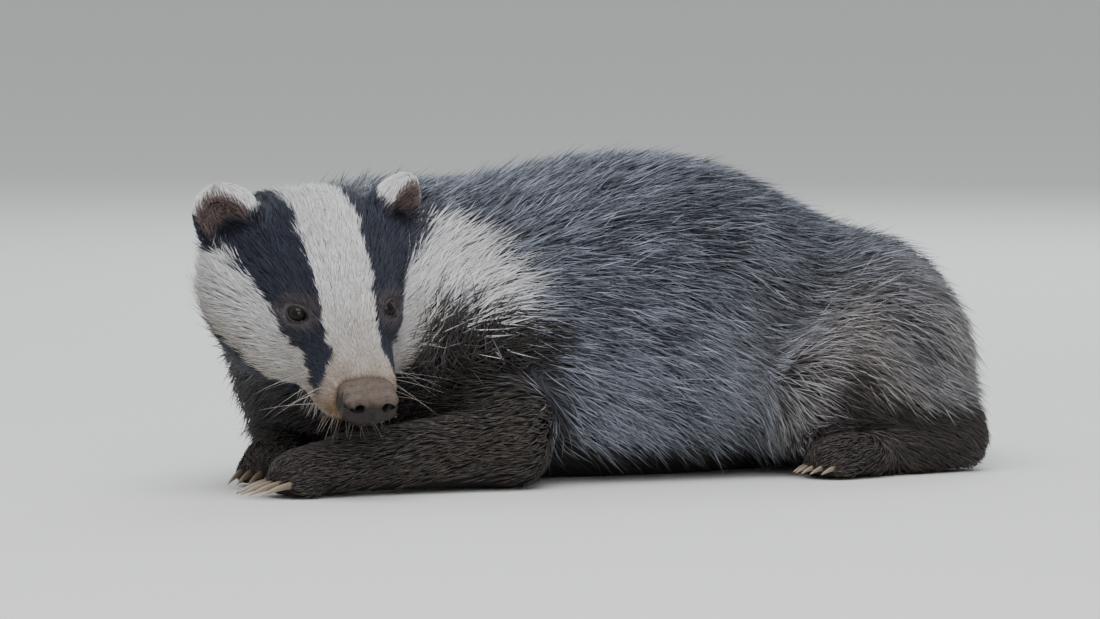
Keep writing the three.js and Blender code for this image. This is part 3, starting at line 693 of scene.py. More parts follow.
def nearest_direction(p, marks, directions, blur):
    gaps = ((p[:, None] - marks[None]) ** 2).sum(axis=2)
    nearest = gaps.min(axis=1, keepdims=True)
    weights = np.exp((nearest - gaps) / (2 * blur**2))
    return unit(weights @ directions), np.sqrt(nearest[:, 0])


def head_lie(q):
    side = np.clip(q[:, 1] / 30, -1, 1)
    low = smooth_step(-q[:, 2], 4, 30)
    crown = smooth_step(-q[:, 0], -10, 60)
    lie = np.column_stack([-np.ones(len(q)), side * (0.3 + 0.25 * low), 0.15 * crown - 0.5 * low])
    return lie @ HEAD.T


def paw_lie(p):
    lie = np.zeros_like(p)
    for _, place, heading in PAW_PLACES.values():
        near = np.linalg.norm(p[:, :2] - vec(*place), axis=1) < 55
        lie[near] = paw_turn(heading) @ vec(1, 0, -0.15)
    return lie


def lie_of_coat(p, shares):
    along_trunk, from_spine = nearest_direction(p, SPINE, SPINE_ALONG, SPINE_BLUR)
    along_trunk[:, 2] -= FLANK_DROOP * smooth_step(from_spine, 45, 110)
    left = p[:, 1:2] < 0
    foreleg = np.where(left, unit(vec(-1, -0.05, -0.15)), unit(vec(-0.78, -0.62, -0.1)))
    hindleg = np.tile(unit(vec(0.85, 0, -0.45)), (len(p), 1))
    ear_side = np.sign(to_head(p)[:, 1:2])
    ear = (EAR_UP * np.column_stack([np.ones(len(p)), ear_side, np.ones(len(p))])) @ HEAD.T
    along_tail, _ = nearest_direction(p, TAIL_MARKS, TAIL_ALONG, 20)
    choices = [along_trunk, head_lie(to_head(p)), ear, foreleg, hindleg, along_tail, paw_lie(p)]
    return unit(sum(share[:, None] * choice for share, choice in zip(shares.T, choices)))


# Depth, length, width and number of the tufts, by where they grow
CHEEK_AT = vec(-40, 48, -34)
CHEEK_REACH = 28


def face_depth(q):
    m = mirrored(q)
    back = smooth_step(-m[:, 0], -5, 70)
    front = smooth_step(m[:, 0], 5, 35)
    cheek = bell(np.linalg.norm(m - CHEEK_AT, axis=1), CHEEK_REACH)
    depth = mix(2.6 + 2.6 * back + 6 * cheek, 1.2, front)
    return mix(depth, 0.7, bell(np.linalg.norm(m - EYE_AT, axis=1), 9))


def tuft_sizes(p, shares):
    """Depth, length, width and tufts to a square millimetre."""
    face = face_depth(to_head(p))
    trunk_rows = np.tile([12, 35, 0.95, 0.38], (len(p), 1))
    trunk_rows[:, 1] += 5 * patchy(p)
    density = np.interp(face, [0.7, 1.2, 2.6, 6, 12], [1.2, 2.0, 1.75, 1.05, 0.8])
    width = np.interp(face, [0.7, 1.2, 2.6, 6, 12], [0.36, 0.4, 0.48, 0.64, 0.76])
    head_rows = np.column_stack([face, 1.8 + 2.1 * face, width, density])
    fixed = {
        "ears": (1.8, 6.0, 0.6, 1.2),
        "forelegs": (4.0, 17, 1.1, 0.34),
        "hindlegs": (5.0, 22, 1.2, 0.3),
        "tail": (12.0, 42, 1.1, 0.38),
        "paws": (1.8, 8, 0.85, 0.5),
    }
    rows = [trunk_rows, head_rows] + [np.array(fixed[name])[None] for name in PART_NAMES[2:]]
    return sum(share[:, None] * row for share, row in zip(shares.T, rows)).T


def scatter_roots(points, triangles, per_area):
    a, b, c = points[triangles].transpose(1, 0, 2)
    areas = np.linalg.norm(np.cross(b - a, c - a), axis=1) / 2
    totals = np.cumsum(areas * per_area[triangles].mean(axis=1))
    count = int(totals[-1])
    chosen = np.searchsorted(totals, (np.arange(count) + rng.random(count)) / count * totals[-1])
    chosen = np.minimum(chosen, len(triangles) - 1)
    u, v = rng.random((2, count, 1))
    u, v = np.where(u + v > 1, 1 - u, u), np.where(u + v > 1, 1 - v, v)
    return a[chosen] + u * (b - a)[chosen] + v * (c - a)[chosen]


# A tuft: three-sided rings and a tip, with their places along it, their rise and their width as shares
LONG_RINGS = {"along": (0, 0.58, 1), "rise": (0, 0.56, 1), "wide": (0.9, 1)}
SHORT_RINGS = {"along": (0, 0.5, 1), "rise": (0, 0.62, 1), "wide": (1, 0.8)}
TUFT_THICK = 0.5
STRAY_SHARE, STRAY_RISE = 0.10, 1.4
ROOT_SUNK, ROOT_SUNK_SHARE = 0.4, 0.1


def tuft_faces(ring_count, tufts):
    faces = [(0, 2, 1)]
    for k in range(ring_count - 1):
        for a, b in ((0, 1), (1, 2), (2, 0)):
            faces += [(3 * k + a, 3 * k + b, 3 * k + 3 + b), (3 * k + a, 3 * k + 3 + b, 3 * k + 3 + a)]
    top = 3 * (ring_count - 1)
    faces += [(top + a, top + b, top + 3) for a, b in ((0, 1), (1, 2), (2, 0))]
    return (np.arange(tufts)[:, None, None] * (3 * ring_count + 1) + np.array(faces)[None]).reshape(-1, 3)


def grown(roots, shares, sizes, rings):
    """Corners of all tufts, (tufts, corners, 3), each bent to rise evenly over the skin."""
    depth, length, width, _ = sizes
    sunk = ROOT_SUNK + ROOT_SUNK_SHARE * depth
    count = len(roots)
    longish = smooth_step(length, 8, 30)
    sway = np.stack([wave(roots) for wave in swirl], axis=1) * 0.14
    sway += np.stack([wave(roots) for wave in clump], axis=1) * (0.14 + 0.12 * longish)[:, None]
    sway += rng.normal(size=(count, 3)) * (0.09 + 0.07 * longish)[:, None]
    length = length * rng.uniform(0.72, 1.2, count)
    stray = rng.random(count) < STRAY_SHARE * longish
    depth = depth * rng.uniform(0.55, 1.1, count) * np.where(stray, STRAY_RISE, 1)
    width = width * rng.uniform(0.75, 1.25, count) * np.where(stray, 0.7, 1)
    here = roots
    corners = []
    _, out = slope_of(skin, here)
    for k, (along_share, rise_share) in enumerate(zip(rings["along"], rings["rise"])):
        lie = lie_of_coat(here, shares) + sway
        lie = unit(lie - out * (lie * out).sum(axis=1, keepdims=True))
        if k:
            step = length * (along_share - rings["along"][k - 1])
            here = here + step[:, None] * lie
            height, out = slope_of(skin, here)
            here = here + (rise_share * depth - height)[:, None] * out
        else:
            here = here - sunk[:, None] * out
        across = np.cross(lie, out)
        if k == len(rings["along"]) - 1:
            corners.append(here[:, None])
            break
        half = (width * rings["wide"][k] / 2)[:, None] * across
        ridge = (width * rings["wide"][k] * TUFT_THICK)[:, None] * out
        corners.append(np.stack([here - half, here + half, here + ridge], axis=1))
    corners = np.concatenate(corners, axis=1)
    corners[..., 2] = np.maximum(corners[..., 2], 0.4)
    return corners


def tuft_colours(roots, marks, rings):
    """Root, rings and tip colour of every tuft."""
    count = len(roots)
    place = np.array(rings["along"])[None, :, None]
    shade = rng.uniform(0.82, 1.18, (count, 1, 1))
    chance, lot, creamy = rng.random((3, count, 1, 1))
    tint, patchy_share = marks["tint"][:, None, None], marks["patchy"][:, None, None]
    tip = mix(BACK_TIP, BACK_TIP * vec(1.05, 0.92, 0.76), tint)
    # Grizzled tufts are dark at the root, partly painted shade deep in the coat, and paler towards the tip
    low = mix(BACK_DARK_AND_DEPTH_SHADE, FLANK_TINT * 0.6, 0.8 * tint)
    pale = lot * 1.25 + 0.16 * patchy_share + 0.2 * marks["locks"][:, None, None] - 0.15
    pale = np.clip(pale + 0.42 * marks["low"][:, None, None], 0, 1.2) ** 1.2
    light = mix(low, tip, pale * smooth_step(place, 0.1 + 0.4 * chance, 1.0))
    fleck = (lot > 0.82) * smooth_step(place, 0.4, 1.0)
    sombre = mix(BROWN_BLACK * mix(1.0, 1.5, place), vec(0.15, 0.145, 0.15), 0.6 * fleck)
    sombre = mix(sombre, LIMB_BROWN * mix(0.5, 1.4, creamy * place), marks["limb"][:, None, None])
    dark = smooth_step(marks["dark"] + rng.normal(0, 0.12, count), 0.3, 0.7)[:, None, None]
    body = mix(light, sombre, dark)
    white = mix(mix(CREAM, WHITE, 0.5 + 0.5 * creamy), WHITE * 1.06, place)
    white = white * mix(0.74, 1.0, place) * mix(1.0, SHADED_CREAM, marks["shaded"][:, None, None])
    white = mix(white, TAN * mix(0.8, 1.15, creamy), marks["tan"][:, None, None])
    # Some black tufts turn bluish grey towards the tip: partly light-tipped hairs, partly painted sheen
    black = mix(BLACK * 0.8, BLACK * vec(2.3, 2.4, 2.7), place * creamy)
    black = mix(black, CUP_BROWN * mix(0.7, 1.5, creamy * place), marks["cup"][:, None, None])
    black = mix(black, EYE_GREY * mix(0.6, 1.3, creamy), 0.85 * marks["around_eye"][:, None, None])
    black_share = smooth_step(marks["black"] + rng.normal(0, 0.07, count), 0.40, 0.60)[:, None, None]
    head = smooth_step(marks["head"] + rng.normal(0, 0.16, count), 0.4, 0.6)[:, None, None]
    return mix(body, mix(white, black, black_share), head) * shade


def per_corner(colours, ring_count):
    counts = [3] * ring_count + [1]
    return np.repeat(colours, counts, axis=1)


# Unwrap of the skin by its own shape, one tile to a limb, for where each tuft's colour is kept
def round_axis(p, start, end, over=(0, 0, 1)):
    """How far along an axis each point lies, and its angle round it, both as shares of 1."""
    start, along = vec(*start), vec(*end) - vec(*start)
    side = unit(np.cross(unit(along), vec(*over)))
    up = np.cross(side, unit(along))
    offset = p - start
    angle = np.arctan2(offset @ up, offset @ side) / (2 * math.pi) + 0.5
    return np.clip(np.column_stack([offset @ along / (along @ along), angle]), 0.004, 0.99)


def tiled(unwraps, nearest):
    """The unwraps side by side, each point in the tile of the limb that it is nearest to."""
    picked = np.stack(unwraps, axis=1)[np.arange(len(nearest)), nearest]
    picked[:, 0] = (picked[:, 0] + nearest) / len(unwraps)
    return picked


def unwrap_limbs(p, axes):
    middles = np.array([(vec(*start) + vec(*end)) / 2 for start, end in axes])
    nearest = ((p[:, None] - middles[None]) ** 2).sum(axis=2).argmin(axis=1)
    return tiled([round_axis(p, start, end) for start, end in axes], nearest)


def unwrap_ears(p):
    q = to_head(p)
    around = round_axis(mirrored(q) - EAR_AT, -26 * EAR_UP, 26 * EAR_UP, EAR_FACES)
    return tiled([around, around], (q[:, 1] < 0).astype(int))


def unwrap_paws(p):
    axes = []
    for _, (x, y), heading in PAW_PLACES.values():
        forward = paw_turn(heading) @ vec(1, 0, 0) * 36
        middle = vec(x, y, 11)
        axes.append((middle - forward, middle + forward))
    return unwrap_limbs(p, axes)


FORELEG_AXES = ((-84, -88, 26), (-236, -90, 17)), ((-84, 88, 26), (-214, 4, 17))
HINDLEG_AXES = ((70, -106, 26), (214, -104, 26)), ((70, 106, 26), (214, 104, 26))
UNWRAPS = {
    "trunk": lambda p: round_axis(p, (-225, 0, 82), (240, 0, 60)),
    "head": lambda p: round_axis(to_head(p), (-125, 0, -14), (66, 0, -14)),
    "ears": unwrap_ears,
    "forelegs": lambda p: unwrap_limbs(p, FORELEG_AXES),
    "hindlegs": lambda p: unwrap_limbs(p, HINDLEG_AXES),
    "tail": lambda p: round_axis(p, (230, -20, 24), (246, 180, 12)),
    "paws": unwrap_paws,
}
PATCH = 0.003


def patch_corners(ring_count):
    along = np.repeat(np.linspace(-0.5, 0.5, ring_count + 1), [3] * ring_count + [1])
    across = np.append(np.tile([-0.5, 0.5, 0], ring_count), 0.1)
    return PATCH * np.column_stack([along, across])


# Materials
def new_material(name, roughness, **sockets):
    material = bpy.data.materials.new(name)
    material.use_nodes = True
    shader = material.node_tree.nodes["Principled BSDF"]
    shader.inputs["Roughness"].default_value = roughness
    for socket, value in sockets.items():
        shader.inputs[socket.replace("_", " ")].default_value = value
    return material, material.node_tree, shader


def noise_node(tree, scale, detail=3.0, stretch=None):
    place = tree.nodes.new("ShaderNodeTexCoord")
    noise = tree.nodes.new("ShaderNodeTexNoise")
    noise.inputs["Scale"].default_value = scale
    noise.inputs["Detail"].default_value = detail
    source = place.outputs["Object"]
    if stretch:
        mapping = tree.nodes.new("ShaderNodeMapping")
        mapping.inputs["Scale"].default_value = stretch
        tree.links.new(source, mapping.inputs["Vector"])
        source = mapping.outputs["Vector"]
    tree.links.new(source, noise.inputs["Vector"])
    return noise.outputs["Fac"]


def add_bump(tree, shader, height, strength, distance):
    bump = tree.nodes.new("ShaderNodeBump")
    bump.inputs["Strength"].default_value = strength
    bump.inputs["Distance"].default_value = distance
    tree.links.new(height, bump.inputs["Height"])
    tree.links.new(bump.outputs["Normal"], shader.inputs["Normal"])


def painted_material(name, attribute, roughness, **sockets):
    """Takes its colour from a painted attribute, a little lighter and darker from place to place."""
    material, tree, shader = new_material(name, roughness, **sockets)
    colour = tree.nodes.new("ShaderNodeVertexColor")
    colour.layer_name = attribute
    ramp = tree.nodes.new("ShaderNodeMapRange")
    ramp.inputs["To Min"].default_value = 0.82
    ramp.inputs["To Max"].default_value = 1.14
    tree.links.new(noise_node(tree, 400), ramp.inputs["Value"])
    multiply = tree.nodes.new("ShaderNodeVectorMath")
    multiply.operation = "SCALE"
    tree.links.new(colour.outputs["Color"], multiply.inputs[0])
    tree.links.new(ramp.outputs["Result"], multiply.inputs["Scale"])
    tree.links.new(multiply.outputs["Vector"], shader.inputs["Base Color"])
    return material, tree, shader


skin_finish, skin_tree, skin_shader = painted_material("short_fur_and_skin", "skin_colour", 0.75)
skin_shader.inputs["Specular IOR Level"].default_value = 0.25
add_bump(skin_tree, skin_shader, noise_node(skin_tree, 900, 4.0), 0.5, 0.0006)
coat_finish, _, coat_shader = painted_material("coat_hair", "hair_colour", 0.5)
coat_shader.inputs["Specular IOR Level"].default_value = 0.35


# Nose pad: leathery, with a groove down its front and comma-shaped nostrils that run out to the sides
def rounded_box(centre, half, rounding):
    centre, inner = vec(*centre), vec(*half) - rounding

    def field(p):
        q = np.abs(p - centre) - inner
        return np.linalg.norm(np.maximum(q, 0), axis=1) + np.minimum(q.max(axis=1), 0) - rounding

    return field


NOSTRIL = (59, 7.4, -13.8), (68, 8.2, -12.9), 1.7, 2.9
NOSTRIL_COMMA = (66, 9.5, -13), (61.5, 16, -13.2), 1.9, 1.1
NOSE_SLOT = (57.5, 17, -17.5), (54.5, 16.8, -9.5), 1.3, 1.0


def nose_skin(q):
    m = mirrored(q)
    pad = rounded_box((56.3, 0, -16.2), (10.2, 16.4, 9.0), 5.5)(q)
    pad = pad + 0.9 * bell(q[:, 1], 5) * (q[:, 2] > -14)
    pad = smooth_min(pad, mass((54.5, 0, -24.6), (11, 12.4, 8.4))(q), 5)
    pad = smooth_min(pad, limb((40, 0, -18.6), (50, 0, -16.8), 10.2, 9.2)(q), 6)
    pad = smooth_max(pad, -limb(*NOSTRIL)(m), 1.4)
    pad = smooth_max(pad, -limb(*NOSTRIL_COMMA)(m), 1.3)
    pad = smooth_max(pad, -limb(*NOSE_SLOT)(m), 1.2)
    lower = smooth_step(-q[:, 2], 13, 19) * (q[:, 0] > 58)
    pad = pad + 1.0 * bell(m[:, 1], 0.7) * lower
    return pad + 0.09 * fine_feather(q * 3.4) + 0.2 * fine_feather(q * 1.1 + 9)


# Skin
distances = part_distances(bare_points)
skin_shares = share_of_parts(distances)
skin_marks = markings(bare_points, skin_shares)
flesh = ["head", "ear_left", "ear_right", "neck", "torso", "hindquarters", "tail"]
flesh += [f"{leg}_{side}" for leg in ("foreleg", "hindleg", "forepaw", "hindpaw") for side in SIDES]
badger_skin = new_piece("badger_skin", skin_points, skin_triangles, skin_finish, "grizzled_coat", flesh)
paint(badger_skin, "skin_colour", skin_colours(bare_points, skin_marks))


# Coat
def hair_allowed(p, outward):
    """Share of the full number of tufts: none on the eyes, the nose, the mouth and underneath."""
    q = to_head(p)
    near_head = np.linalg.norm(q, axis=1) < 90
    lids = np.minimum(eye_opening(q), eye_opening(q - vec(2.2, 0, 0)) + 0.5)
    open_lids = smooth_step(lids, 1.1, 2.2)
    off_nose = smooth_step(nose_skin(q), -0.3, 0.5)
    off_mouth = smooth_step(mouth_distance(q), 0.5, 1.2)
    face = np.where(near_head, open_lids * off_nose * np.maximum(off_mouth, q[:, 0] < -12), 1)
    in_cup = ear_cup(mirrored(q)) < 1.5
    underneath = smooth_step(outward[:, 2], -0.75, -0.45) + (p[:, 2] > 40)
    on_floor = smooth_step(p[:, 2], 0.8, 3)
    return face * np.clip(underneath, 0, 1) * on_floor * np.where(in_cup & near_head, 0.55, 1)


bare_outward = slope_of(skin, bare_points)[1]
per_area = tuft_sizes(bare_points, skin_shares)[3] * hair_allowed(bare_points, bare_outward)
roots = scatter_roots(bare_points, skin_triangles, per_area)
roots = settle(skin, roots, 1)
root_shares = share_of_parts(part_distances(roots))
root_marks = markings(roots, root_shares)
root_sizes = tuft_sizes(roots, root_shares)
root_part = root_shares.argmax(axis=1)
PIECE_TRIANGLES = 180000
COAT_SLOTS = {"trunk": "grizzled_coat", "tail": "grizzled_coat", "head": "face_coat", "ears": "face_coat"}
COAT_SLOTS |= {"forelegs": "dark_coat", "hindlegs": "dark_coat", "paws": "paw_and_claw"}
for number, part in enumerate(PART_NAMES):
    rings = LONG_RINGS if part in ("trunk", "tail") else SHORT_RINGS
    ring_count = len(rings["wide"])
    own = np.flatnonzero(root_part == number)
    own = own[np.argsort(roots[own, 0])]
    count = math.ceil(len(own) * len(tuft_faces(ring_count, 1)) / PIECE_TRIANGLES)
    for i, some in enumerate(np.array_split(own, count)):
        marks = {name: values[some] for name, values in root_marks.items()}
        sizes = root_sizes[:, some]
        points = grown(roots[some], root_shares[some], sizes, rings).reshape(-1, 3)
        colours = per_corner(tuft_colours(roots[some], marks, rings), ring_count)
        faces = tuft_faces(ring_count, len(some))
        piece = new_piece(f"coat_{part}_{i + 1}", points, faces, coat_finish, COAT_SLOTS[part])
        paint(piece, "hair_colour", colours.reshape(-1, 3))
        patches = UNWRAPS[part](roots[some])[:, None] + patch_corners(ring_count)[None]
        layer = piece.data.uv_layers.new(name="OFBake")
        layer.uv.foreach_set("vector", patches.reshape(-1, 2)[faces.ravel()].astype(np.float32).ravel())


# Colours of the nose
def nose_colours(q):
    """Brown-grey on top; darker on the front and lower part, partly damp leather and partly painted shade;
    painted shade, nearly black, in the nostrils.
    """
    # The pad's front and lower part darken: partly damp leather, partly painted shade below the top
    front = smooth_step(-q[:, 2] + 0.2 * (q[:, 0] - 56) + 0.5 * fine_feather(q), 10, 15)
    m = mirrored(q)
    nostril = limb(*NOSTRIL)(m)
    slit = np.minimum(limb(*NOSTRIL_COMMA)(m), limb(*NOSE_SLOT)(m))
    colour = mix(NOSE_TOP, NOSE_FRONT_DAMP_AND_SHADED, front[:, None])
    colour = colour * (1 + 0.24 * fine_feather(q * 2.4) + 0.2 * fine_feather(q * 0.8))[:, None]
    # Painted shade: nearly black in the hollows of the nostrils and the slits beside them
    nostril_shade = smooth_step(-np.minimum(nostril, slit), -0.7, 0.3)
    return mix(colour, vec(0.006, 0.005, 0.005), nostril_shade[:, None])


NOSE_LOW, NOSE_HIGH, NOSE_PITCH = vec(36, -20, -38), vec(70, 20, 0), 0.55
nose_points, nose_faces = surface_of(nose_skin, NOSE_LOW, NOSE_HIGH, NOSE_PITCH)
nose_finish, nose_tree, nose_shader = painted_material("nose_leather", "nose_colour", 0.52)
nose_shader.inputs["Specular IOR Level"].default_value = 0.25
grain = nose_tree.nodes.new("ShaderNodeTexVoronoi")
grain.inputs["Scale"].default_value = 1100
place = nose_tree.nodes.new("ShaderNodeTexCoord")
nose_tree.links.new(place.outputs["Object"], grain.inputs["Vector"])
add_bump(nose_tree, nose_shader, grain.outputs["Distance"], 0.6, 0.0004)
pad_points = from_head(nose_points)
nose = new_piece("nose_leather_pad", pad_points, nose_faces, nose_finish, "nose_skin", ["nose_pad"])
paint(nose, "nose_colour", nose_colours(nose_points))

# Eyes: dark brown, wet, with a raised cornea over the pupil
GAZE = unit(vec(0.72, 0.36, 0.58))
PUPIL, IRIS = 0.32, 0.72


def tube_faces(rings, sides):
    """Triangles between rings of corners that follow one another."""
    faces = []
    for i in range(rings - 1):
        for j in range(sides):
            a, b = i * sides + j, i * sides + (j + 1) % sides
            faces += [(a, a + sides, b + sides), (a, b + sides, b)]
    return faces


def eye_ball(side):
    rings, sides = 26, 40
    axis = GAZE * vec(1, side, 1)
    across = unit(np.cross(vec(0, 0, 1), axis))
    upward = np.cross(axis, across)
    tilt = np.linspace(0, math.pi, rings + 1)[1:-1]
    turn = np.arange(sides) * 2 * math.pi / sides
    tilts, turns = (grid.ravel() for grid in np.meshgrid(tilt, turn, indexing="ij"))
    tilts, turns = np.append(tilts, [0, math.pi]), np.append(turns, [0, 0])
    radius = EYE_RADIUS - 0.25 + 0.35 * (1 - smooth_step(tilts, 0.2, 0.85))
    round_it = np.cos(turns)[:, None] * across + np.sin(turns)[:, None] * upward
    directions = np.cos(tilts)[:, None] * axis + np.sin(tilts)[:, None] * round_it
    points = EYE_AT * vec(1, side, 1) + radius[:, None] * directions
    faces = tube_faces(rings - 1, sides)
    front, back = len(points) - 2, len(points) - 1
    last = (rings - 2) * sides
    faces += [(front, j, (j + 1) % sides) for j in range(sides)]
    faces += [(back, last + (j + 1) % sides, last + j) for j in range(sides)]
    iris = smooth_step(tilts, PUPIL - 0.05, PUPIL + 0.1)
    white = smooth_step(tilts, IRIS - 0.04, IRIS + 0.1)
    colours = mix(vec(0.002, 0.002, 0.002), vec(0.009, 0.005, 0.003), iris[:, None])
    return points, faces, mix(colours, vec(0.02, 0.015, 0.014), white[:, None])


eye_finish, _, eye_shader = painted_material("wet_eye", "eye_colour", 0.05)
eye_shader.inputs["Specular IOR Level"].default_value = 0.2
for name, side in SIDES.items():
    points, faces, colours = eye_ball(side)
    eye = new_piece(f"eyeball_{name}", from_head(points), faces, eye_finish, "eye", [f"eye_{name}"])
    paint(eye, "eye_colour", colours)


# Claws: long curved horn, five to a paw
CLAW_SIDES = 10
CLAW_STEPS = 9


def claw(size, root):
    shares = np.linspace(0, 1, CLAW_STEPS + 1)[:-1, None]
    turns = np.arange(CLAW_SIDES)[None] * 2 * math.pi / CLAW_SIDES
    thick = size["thick"] * (1 - shares**1.6) ** 0.75
    x = root[0] + size["long"] * shares + 0 * turns
    y = root[1] + 0.62 * thick * np.cos(turns)
    z = root[2] - size["drop"] * shares**2 + thick * np.sin(turns)
    points = np.stack([x, y, z], axis=-1).reshape(-1, 3)
    tip = vec(root[0] + size["long"], root[1], root[2] - size["drop"])
    points = np.vstack([points, tip, root])
    faces = tube_faces(CLAW_STEPS, CLAW_SIDES)
    last = (CLAW_STEPS - 1) * CLAW_SIDES
    for j in range(CLAW_SIDES):
        faces.append((last + j, len(points) - 2, last + (j + 1) % CLAW_SIDES))
        faces.append((len(points) - 1, j, (j + 1) % CLAW_SIDES))
    return points, np.array(faces), np.append(np.repeat(shares[:, 0], CLAW_SIDES), [1, 0])


claw_finish, claw_tree, claw_shader = painted_material("claw_horn", "horn_colour", 0.38)
add_bump(claw_tree, claw_shader, noise_node(claw_tree, 260, 3.0, (0.3, 1, 1)), 0.25, 0.0003)
for name, (size, place, heading) in PAW_PLACES.items():
    points, faces, shares = [], [], []
    for i in TOES:
        centre = toe_centre(size["toe"], i)
        root = centre + vec(0.5 * size["toe"]["radii"][0], 0, 0.5)
        some_points, some_faces, some_shares = claw(size["claw"], root)
        faces.append(some_faces + sum(map(len, points)))
        points.append(some_points)
        shares.append(some_shares)
    world = np.vstack(points) @ paw_turn(heading).T + vec(*place, 0)
    claws = new_piece(f"claws_{name}", world, np.vstack(faces), claw_finish, "paw_and_claw")
    horn = mix(vec(0.07, 0.052, 0.038), vec(0.30, 0.235, 0.165), np.concatenate(shares)[:, None])
    paint(claws, "horn_colour", horn)


# Whiskers in rows on the sides of the muzzle and over the eyes, and bristles on the lips and the chin
WHISKER_ROWS = [(f, u) for u in (-19, -24, -29) for f in (26, 34, 42)]
LIP_BRISTLES, CHIN_BRISTLES = 42, 44
WHISKER_DROOP, WHISKER_CURL = 5, 0.22
OUTSIDE = 60
whisker_roots, whisker_ways, whisker_lies, whisker_lengths = [], [], [], []


def add_whisker(root, way, lie, length):
    """A hair that starts where the skin is met from the root along the way."""
    whisker_roots.append(vec(*root))
    whisker_ways.append(vec(*way))
    whisker_lies.append(lie)
    whisker_lengths.append(length)


for side in SIDES.values():
    beside, way = OUTSIDE * side, (0, -side, 0)
    for f, u in WHISKER_ROWS:
        lie = vec(rng.uniform(-0.7, 0.3), side, rng.uniform(-0.75, -0.1))
        root = f + rng.uniform(-2, 2), beside, u + rng.uniform(-1.5, 1.5)
        add_whisker(root, way, lie, rng.uniform(16, 44))
    for f, u in ((4, 12), (-2, 13), (-24, -38)):
        add_whisker((f, beside, u), way, vec(-0.5, side, 0.1), rng.uniform(12, 20))
    for _ in range(LIP_BRISTLES):
        f = rng.uniform(22, 53)
        lie = vec(rng.uniform(-0.2, 0.5), side * rng.uniform(0.1, 1.0), -1)
        u = np.interp(f, [4, 36, 54], [-34, -34, -27]) + rng.uniform(-2, 1.5)
        add_whisker((f, beside, u), way, lie, rng.uniform(4, 10))
for _ in range(CHIN_BRISTLES):
    across = rng.uniform(-14, 14)
    lie = vec(rng.uniform(0.2, 1.1), 0.08 * across + rng.normal(0, 0.2), -1)
    add_whisker((rng.uniform(36, 50), across, -OUTSIDE), (0, 0, 1), lie, rng.uniform(8, 15))
starts = from_head(np.array(whisker_roots))
inward = np.array(whisker_ways) @ HEAD.T
for _ in range(40):
    starts = starts + 0.7 * np.clip(skin(starts), -9, 9)[:, None] * inward
met = np.abs(skin(starts)) < 0.5
starts = starts[met]
lies = unit(np.array(whisker_lies)[met]) @ HEAD.T
lengths = np.array(whisker_lengths)[met]
WHISKER_SPOTS = np.linspace(0, 1, 7)
centres = starts[:, None] + lies[:, None] * (lengths[:, None] * WHISKER_SPOTS)[..., None]
centres[..., 2] -= WHISKER_DROOP * WHISKER_SPOTS**2
centres[:, 0] -= lies
sideways = unit(np.cross(lies, vec(0, 0, 1)))[:, None]
curl = rng.normal(0, WHISKER_CURL, len(starts)) * lengths
centres += sideways * (curl[:, None] * WHISKER_SPOTS**2)[..., None]
centres[..., 2] = np.maximum(centres[..., 2], 0.5)
over = np.cross(sideways, lies[:, None])
thin = 0.09 * (1 - WHISKER_SPOTS[:-1])[None, :, None] + 0.025
RING_TURNS = np.radians([210, 330, 90])
rim = [centres[:, :-1] + thin * (sideways * math.cos(a) + over * math.sin(a)) for a in RING_TURNS]
rim = np.stack(rim, axis=2).reshape(len(starts), -1, 3)
whisker_corners = np.concatenate([rim, centres[:, -1:]], axis=1)
whisker_faces = tuft_faces(len(WHISKER_SPOTS) - 1, len(starts))
whiskers = new_piece("whiskers", whisker_corners.reshape(-1, 3), whisker_faces, coat_finish, "face_coat")
whisker_tones = mix(vec(0.26, 0.19, 0.13), vec(0.6, 0.57, 0.55), rng.random((len(starts), 1)))
paint(whiskers, "hair_colour", np.repeat(whisker_tones, whisker_corners.shape[1], axis=0))

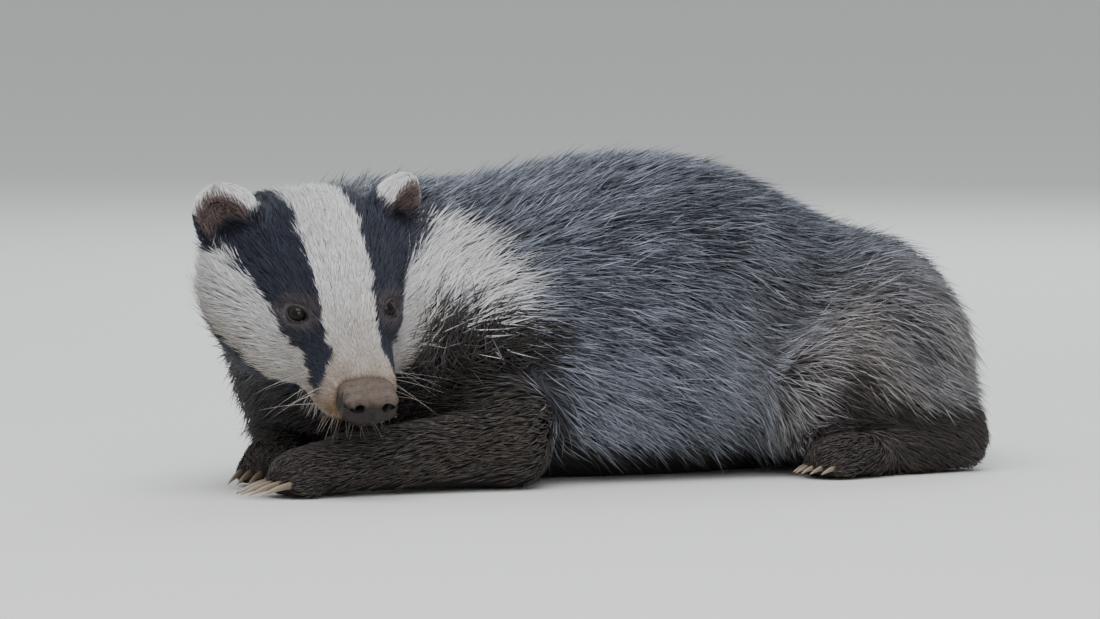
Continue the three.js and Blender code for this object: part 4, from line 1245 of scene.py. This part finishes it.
# Floor, light and camera
floor_mesh = bpy.data.meshes.new("pale_floor")
FLOOR_RADIUS = 40
turns = np.radians(range(0, 360, 5))
floor_ring = [(FLOOR_RADIUS * math.cos(a), FLOOR_RADIUS * math.sin(a), 0) for a in turns]
floor_mesh.from_pydata(floor_ring, [], [range(len(floor_ring))])
floor_finish, _, floor_shader = new_material("pale_floor", 0.9)
floor_shader.inputs["Base Color"].default_value = (0.62, 0.62, 0.60, 1)
floor_mesh.materials.append(floor_finish)
floor = bpy.data.objects.new("pale_floor", floor_mesh)
bpy.context.scene.collection.objects.link(floor)
floor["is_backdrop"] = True

CAMERA_TARGET = vec(-97.7, -113, 103)
CAMERA_DISTANCE = 6.0
CAMERA_TURN, CAMERA_RISE = math.radians(-30), math.radians(3.5)
MM_TO_A_PIXEL = 0.57
PHOTO_WIDTH = 1100
target = Vector(placed(CAMERA_TARGET))
level = math.cos(CAMERA_RISE)
away = Vector((math.sin(CAMERA_TURN) * level, -math.cos(CAMERA_TURN) * level, math.sin(CAMERA_RISE)))
camera_data = bpy.data.cameras.new("camera")
camera_data.sensor_width = 36
camera_data.lens = 36 * CAMERA_DISTANCE * 1000 / (PHOTO_WIDTH * MM_TO_A_PIXEL)
camera_data.clip_end = 200
camera = bpy.data.objects.new("camera", camera_data)
camera.location = target + away * CAMERA_DISTANCE
camera.rotation_euler = (-away).to_track_quat("-Z", "Y").to_euler()
bpy.context.scene.collection.objects.link(camera)
bpy.context.scene.camera = camera


def soft_light(name, place, size, power, colour):
    light = bpy.data.lights.new(name, "AREA")
    light.size = size
    light.energy = power
    light.color = colour
    lamp = bpy.data.objects.new(name, light)
    lamp.location = place
    lamp.rotation_euler = (Vector((0, 0, 0.08)) - Vector(place)).to_track_quat("-Z", "Y").to_euler()
    bpy.context.scene.collection.objects.link(lamp)


soft_light("soft_top", (-0.5, -0.6, 2.6), 2.4, 74, (0.95, 0.98, 1.0))
soft_light("soft_front", (-1.4, -2.8, 1.2), 1.8, 44, (1.0, 0.99, 0.98))
soft_light("soft_rim", (1.6, 1.8, 1.6), 1.6, 36, (0.92, 0.96, 1.0))
world = bpy.data.worlds.new("studio")
world.use_nodes = True
world.node_tree.nodes["Background"].inputs["Color"].default_value = (0.80, 0.82, 0.84, 1)
world.node_tree.nodes["Background"].inputs["Strength"].default_value = 0.8
bpy.context.scene.world = world

[[list(corner) for corner in box] for box in (cad_box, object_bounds())]
